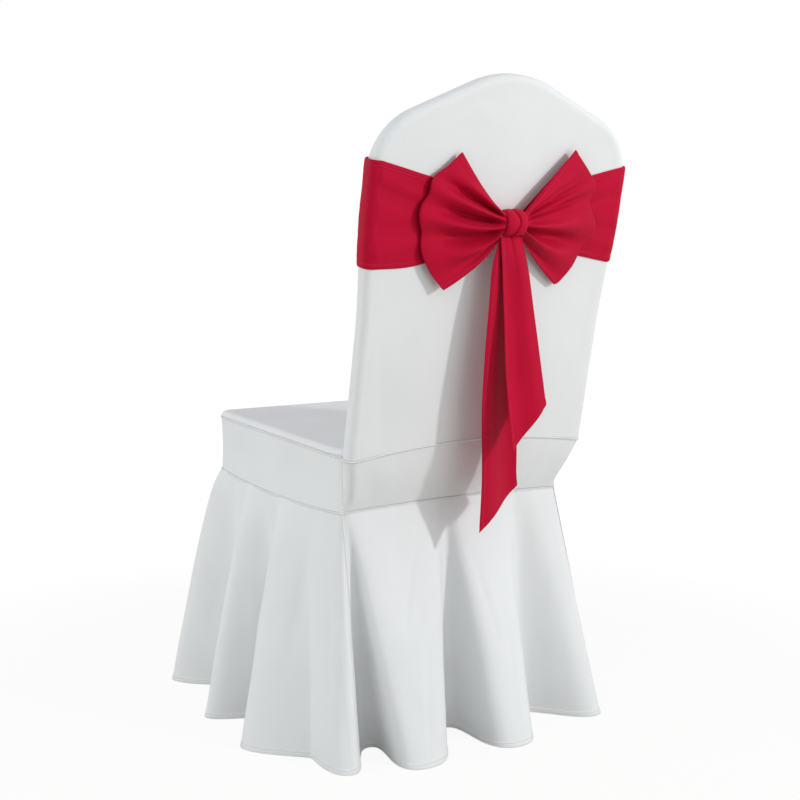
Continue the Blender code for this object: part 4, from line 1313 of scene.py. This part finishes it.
# Folds down a tail: place across at the top and at the foot, depth at the top and at the foot,
# half width
frontTailFolds = (
    (0.50, 0.42, 0.0030, 0.0002, 0.05), (0.82, 0.90, 0.0014, 0.0005, 0.07),
    (0.12, 0.08, 0.0016, 0.0002, 0.06),
)
rearTailFolds = (
    (0.34, 0.30, 0.0016, 0.0003, 0.10), (0.70, 0.72, 0.0014, 0.0006, 0.09),
)


def makeTail(name, node, shape, tailFolds, seed):
    length = tail["top"] - mix(shape["corner"], shape["tip"], 0.5)
    acrossShares = sharesAcross(tail["width"], tail["step"], narrowHemSteps, narrowHemSteps)
    rows = []
    for share in sharesAcross(length, tail["rowStep"], plainEdge, hemSteps):
        line = []
        for across in acrossShares:
            z = mix(tail["top"], mix(shape["corner"], shape["tip"], across), share)
            left, right, leftY, rightY = smoothTable(shape["sections"], z)
            fallen = tail["top"] - z
            runOut = ease(fallen / tail["gather"])
            wave = tail["fold"] * math.sin(2.0 * math.pi * across) * shape["turn"] * runOut
            y = mix(rightY, leftY, across) + wave
            for topPlace, footPlace, topDepth, footDepth, half in tailFolds:
                middle = mix(topPlace, footPlace, min(fallen / tail["foldRun"], 1.0))
                depth = mix(footDepth, topDepth, math.exp(-fallen / tail["crease"]))
                y -= depth * hump(across - middle, half)
            place = across * tail["unevenAcross"], fallen / tail["unevenDown"], 0.0
            y += tail["uneven"] * softNoise(*place, seed) * runOut
            line.append(Vector((mix(right, left, across), y, z)))
        rows.append(line)
    rows = finished(rows, bottom=hemEdge, left=hemEdge, right=hemEdge)
    piece = sewCloth(name, (rows,), redCloth)
    lines = sideLines(rows, hemLine) + [rowLine(rows, hemLine, True)]
    thread = addStitches(name + "Thread", lines, redCloth)
    settle(piece, node,
           withPieces=(thread,))


makeTail("tailFront", "tail_front", frontTail, frontTailFolds, seed=15)
makeTail("tailRear", "tail_rear", rearTail, rearTailFolds, seed=16)


# Floor, light and camera

# each light: its place, its breadth and its power
studio = dict(
    fill=((2.6, -0.5, 0.9), 2.4, 28.0), over=((-1.62, 2.84, 1.70), 0.24, 42.0),
    front=((-0.6, 2.7, 0.35), 1.8, 13.0), aim=(0.0, 0.1, 0.5),
    sky=0.70, skyColour=(0.95, 0.98, 0.99), floorColour=(0.46, 0.47, 0.42),
    floorSize=6.0, floorSegments=96, floorDrop=0.0005, floorRough=0.8, floorShine=0.1,
    nearFloor=0.6, farFloor=1.8, floorWhite=1.06, floorNear=0.86,
)
white = (1.0, 1.0, 1.0, 1.0)


def makeFloor():
    # a round floor that brightens away from the chair, so that no line shows where it ends
    mesh = bpy.data.meshes.new("floor")
    bm = bmesh.new()
    segments = studio["floorSegments"]
    bmesh.ops.create_circle(bm, cap_ends=True, radius=studio["floorSize"], segments=segments)
    bm.to_mesh(mesh)
    bm.free()
    floor = bpy.data.objects.new("floor", mesh)
    floor.location = (0.0, -chairTop.y, -chairTop.z - studio["floorDrop"])
    bpy.context.collection.objects.link(floor)
    material, tree, shader = newMaterial("paleFloor", {
        "Base Color": (*studio["floorColour"], 1.0), "Roughness": studio["floorRough"],
        "Specular IOR Level": studio["floorShine"],
    })
    coordinates = tree.nodes.new("ShaderNodeTexCoord")
    distance = addNode(tree, "VectorMath", links={0: coordinates.outputs["Object"]})
    distance.operation = "LENGTH"
    share = addNode(
        tree, "MapRange",
        {"From Min": studio["nearFloor"], "From Max": studio["farFloor"], "To Min": studio["floorNear"]},
        {"Value": distance.outputs["Value"]},
    )
    share.interpolation_type = "SMOOTHSTEP"
    path = tree.nodes.new("ShaderNodeLightPath")
    seen = mathNode(tree, "MULTIPLY", share.outputs["Result"], path.outputs["Is Camera Ray"])
    glow = addNode(tree, "Emission", {"Color": white, "Strength": studio["floorWhite"]})
    blend = addNode(tree, "MixShader", links={"Fac": seen, 1: shader.outputs["BSDF"], 2: glow.outputs[0]})
    tree.links.new(blend.outputs["Shader"], tree.nodes["Material Output"].inputs["Surface"])
    mesh.materials.append(material)


def addLight(name, place, size, power):
    light = bpy.data.lights.new(name, "AREA")
    light.shape = "DISK"
    light.size = size
    light.energy = power
    lamp = bpy.data.objects.new(name, light)
    lamp.location = Vector(place) - chairTop
    lamp.rotation_mode = "QUATERNION"
    lamp.rotation_quaternion = (Vector(studio["aim"]) - Vector(place)).to_track_quat("-Z", "Y")
    bpy.context.collection.objects.link(lamp)


def makeSky():
    # a dim sky lights the chair, and a white one is seen behind it
    world = bpy.data.worlds.new("studio")
    world.use_nodes = True
    tree = world.node_tree
    sky = tree.nodes["Background"]
    sky.inputs["Color"].default_value = (*studio["skyColour"], 1.0)
    sky.inputs["Strength"].default_value = studio["sky"]
    seen = addNode(tree, "Background", {"Color": white, "Strength": 1.0})
    path = tree.nodes.new("ShaderNodeLightPath")
    links = {"Fac": path.outputs["Is Camera Ray"], 1: sky.outputs[0], 2: seen.outputs[0]}
    blend = addNode(tree, "MixShader", links=links)
    tree.links.new(blend.outputs["Shader"], tree.nodes["World Output"].inputs["Surface"])
    bpy.context.scene.world = world


camera = dict(
    place=(1.1670, 1.9355, 0.7848), yaw=31.5708, pitch=-7.4027, roll=-0.1867,
    lens=61.6256, sensor=36.0, shift=(0.00175, 0.00847), nearest=0.05, farthest=50.0,
)


def makeCamera():
    yaw, pitch, roll = (math.radians(camera[turn]) for turn in ("yaw", "pitch", "roll"))
    ahead = Vector((-math.sin(yaw) * math.cos(pitch), -math.cos(yaw) * math.cos(pitch), math.sin(pitch)))
    level = ahead.cross(Vector((0.0, 0.0, 1.0))).normalized()
    above = level.cross(ahead)
    right = level * math.cos(roll) + above * math.sin(roll)
    up = above * math.cos(roll) - level * math.sin(roll)
    data = bpy.data.cameras.new("camera")
    data.sensor_width = camera["sensor"]
    data.lens = camera["lens"]
    data.shift_x, data.shift_y = camera["shift"]
    data.clip_start, data.clip_end = camera["nearest"], camera["farthest"]
    made = bpy.data.objects.new("camera", data)
    turn = Matrix((right, up, -ahead)).transposed()
    made.matrix_world = Matrix.Translation(Vector(camera["place"]) - chairTop) @ turn.to_4x4()
    bpy.context.collection.objects.link(made)
    bpy.context.scene.camera = made


makeFloor()
for lightName in ("fill", "over", "front"):
    addLight(lightName, *studio[lightName])
makeSky()
makeCamera()
bpy.context.scene.view_settings.view_transform = "Standard"
print("studio ready")
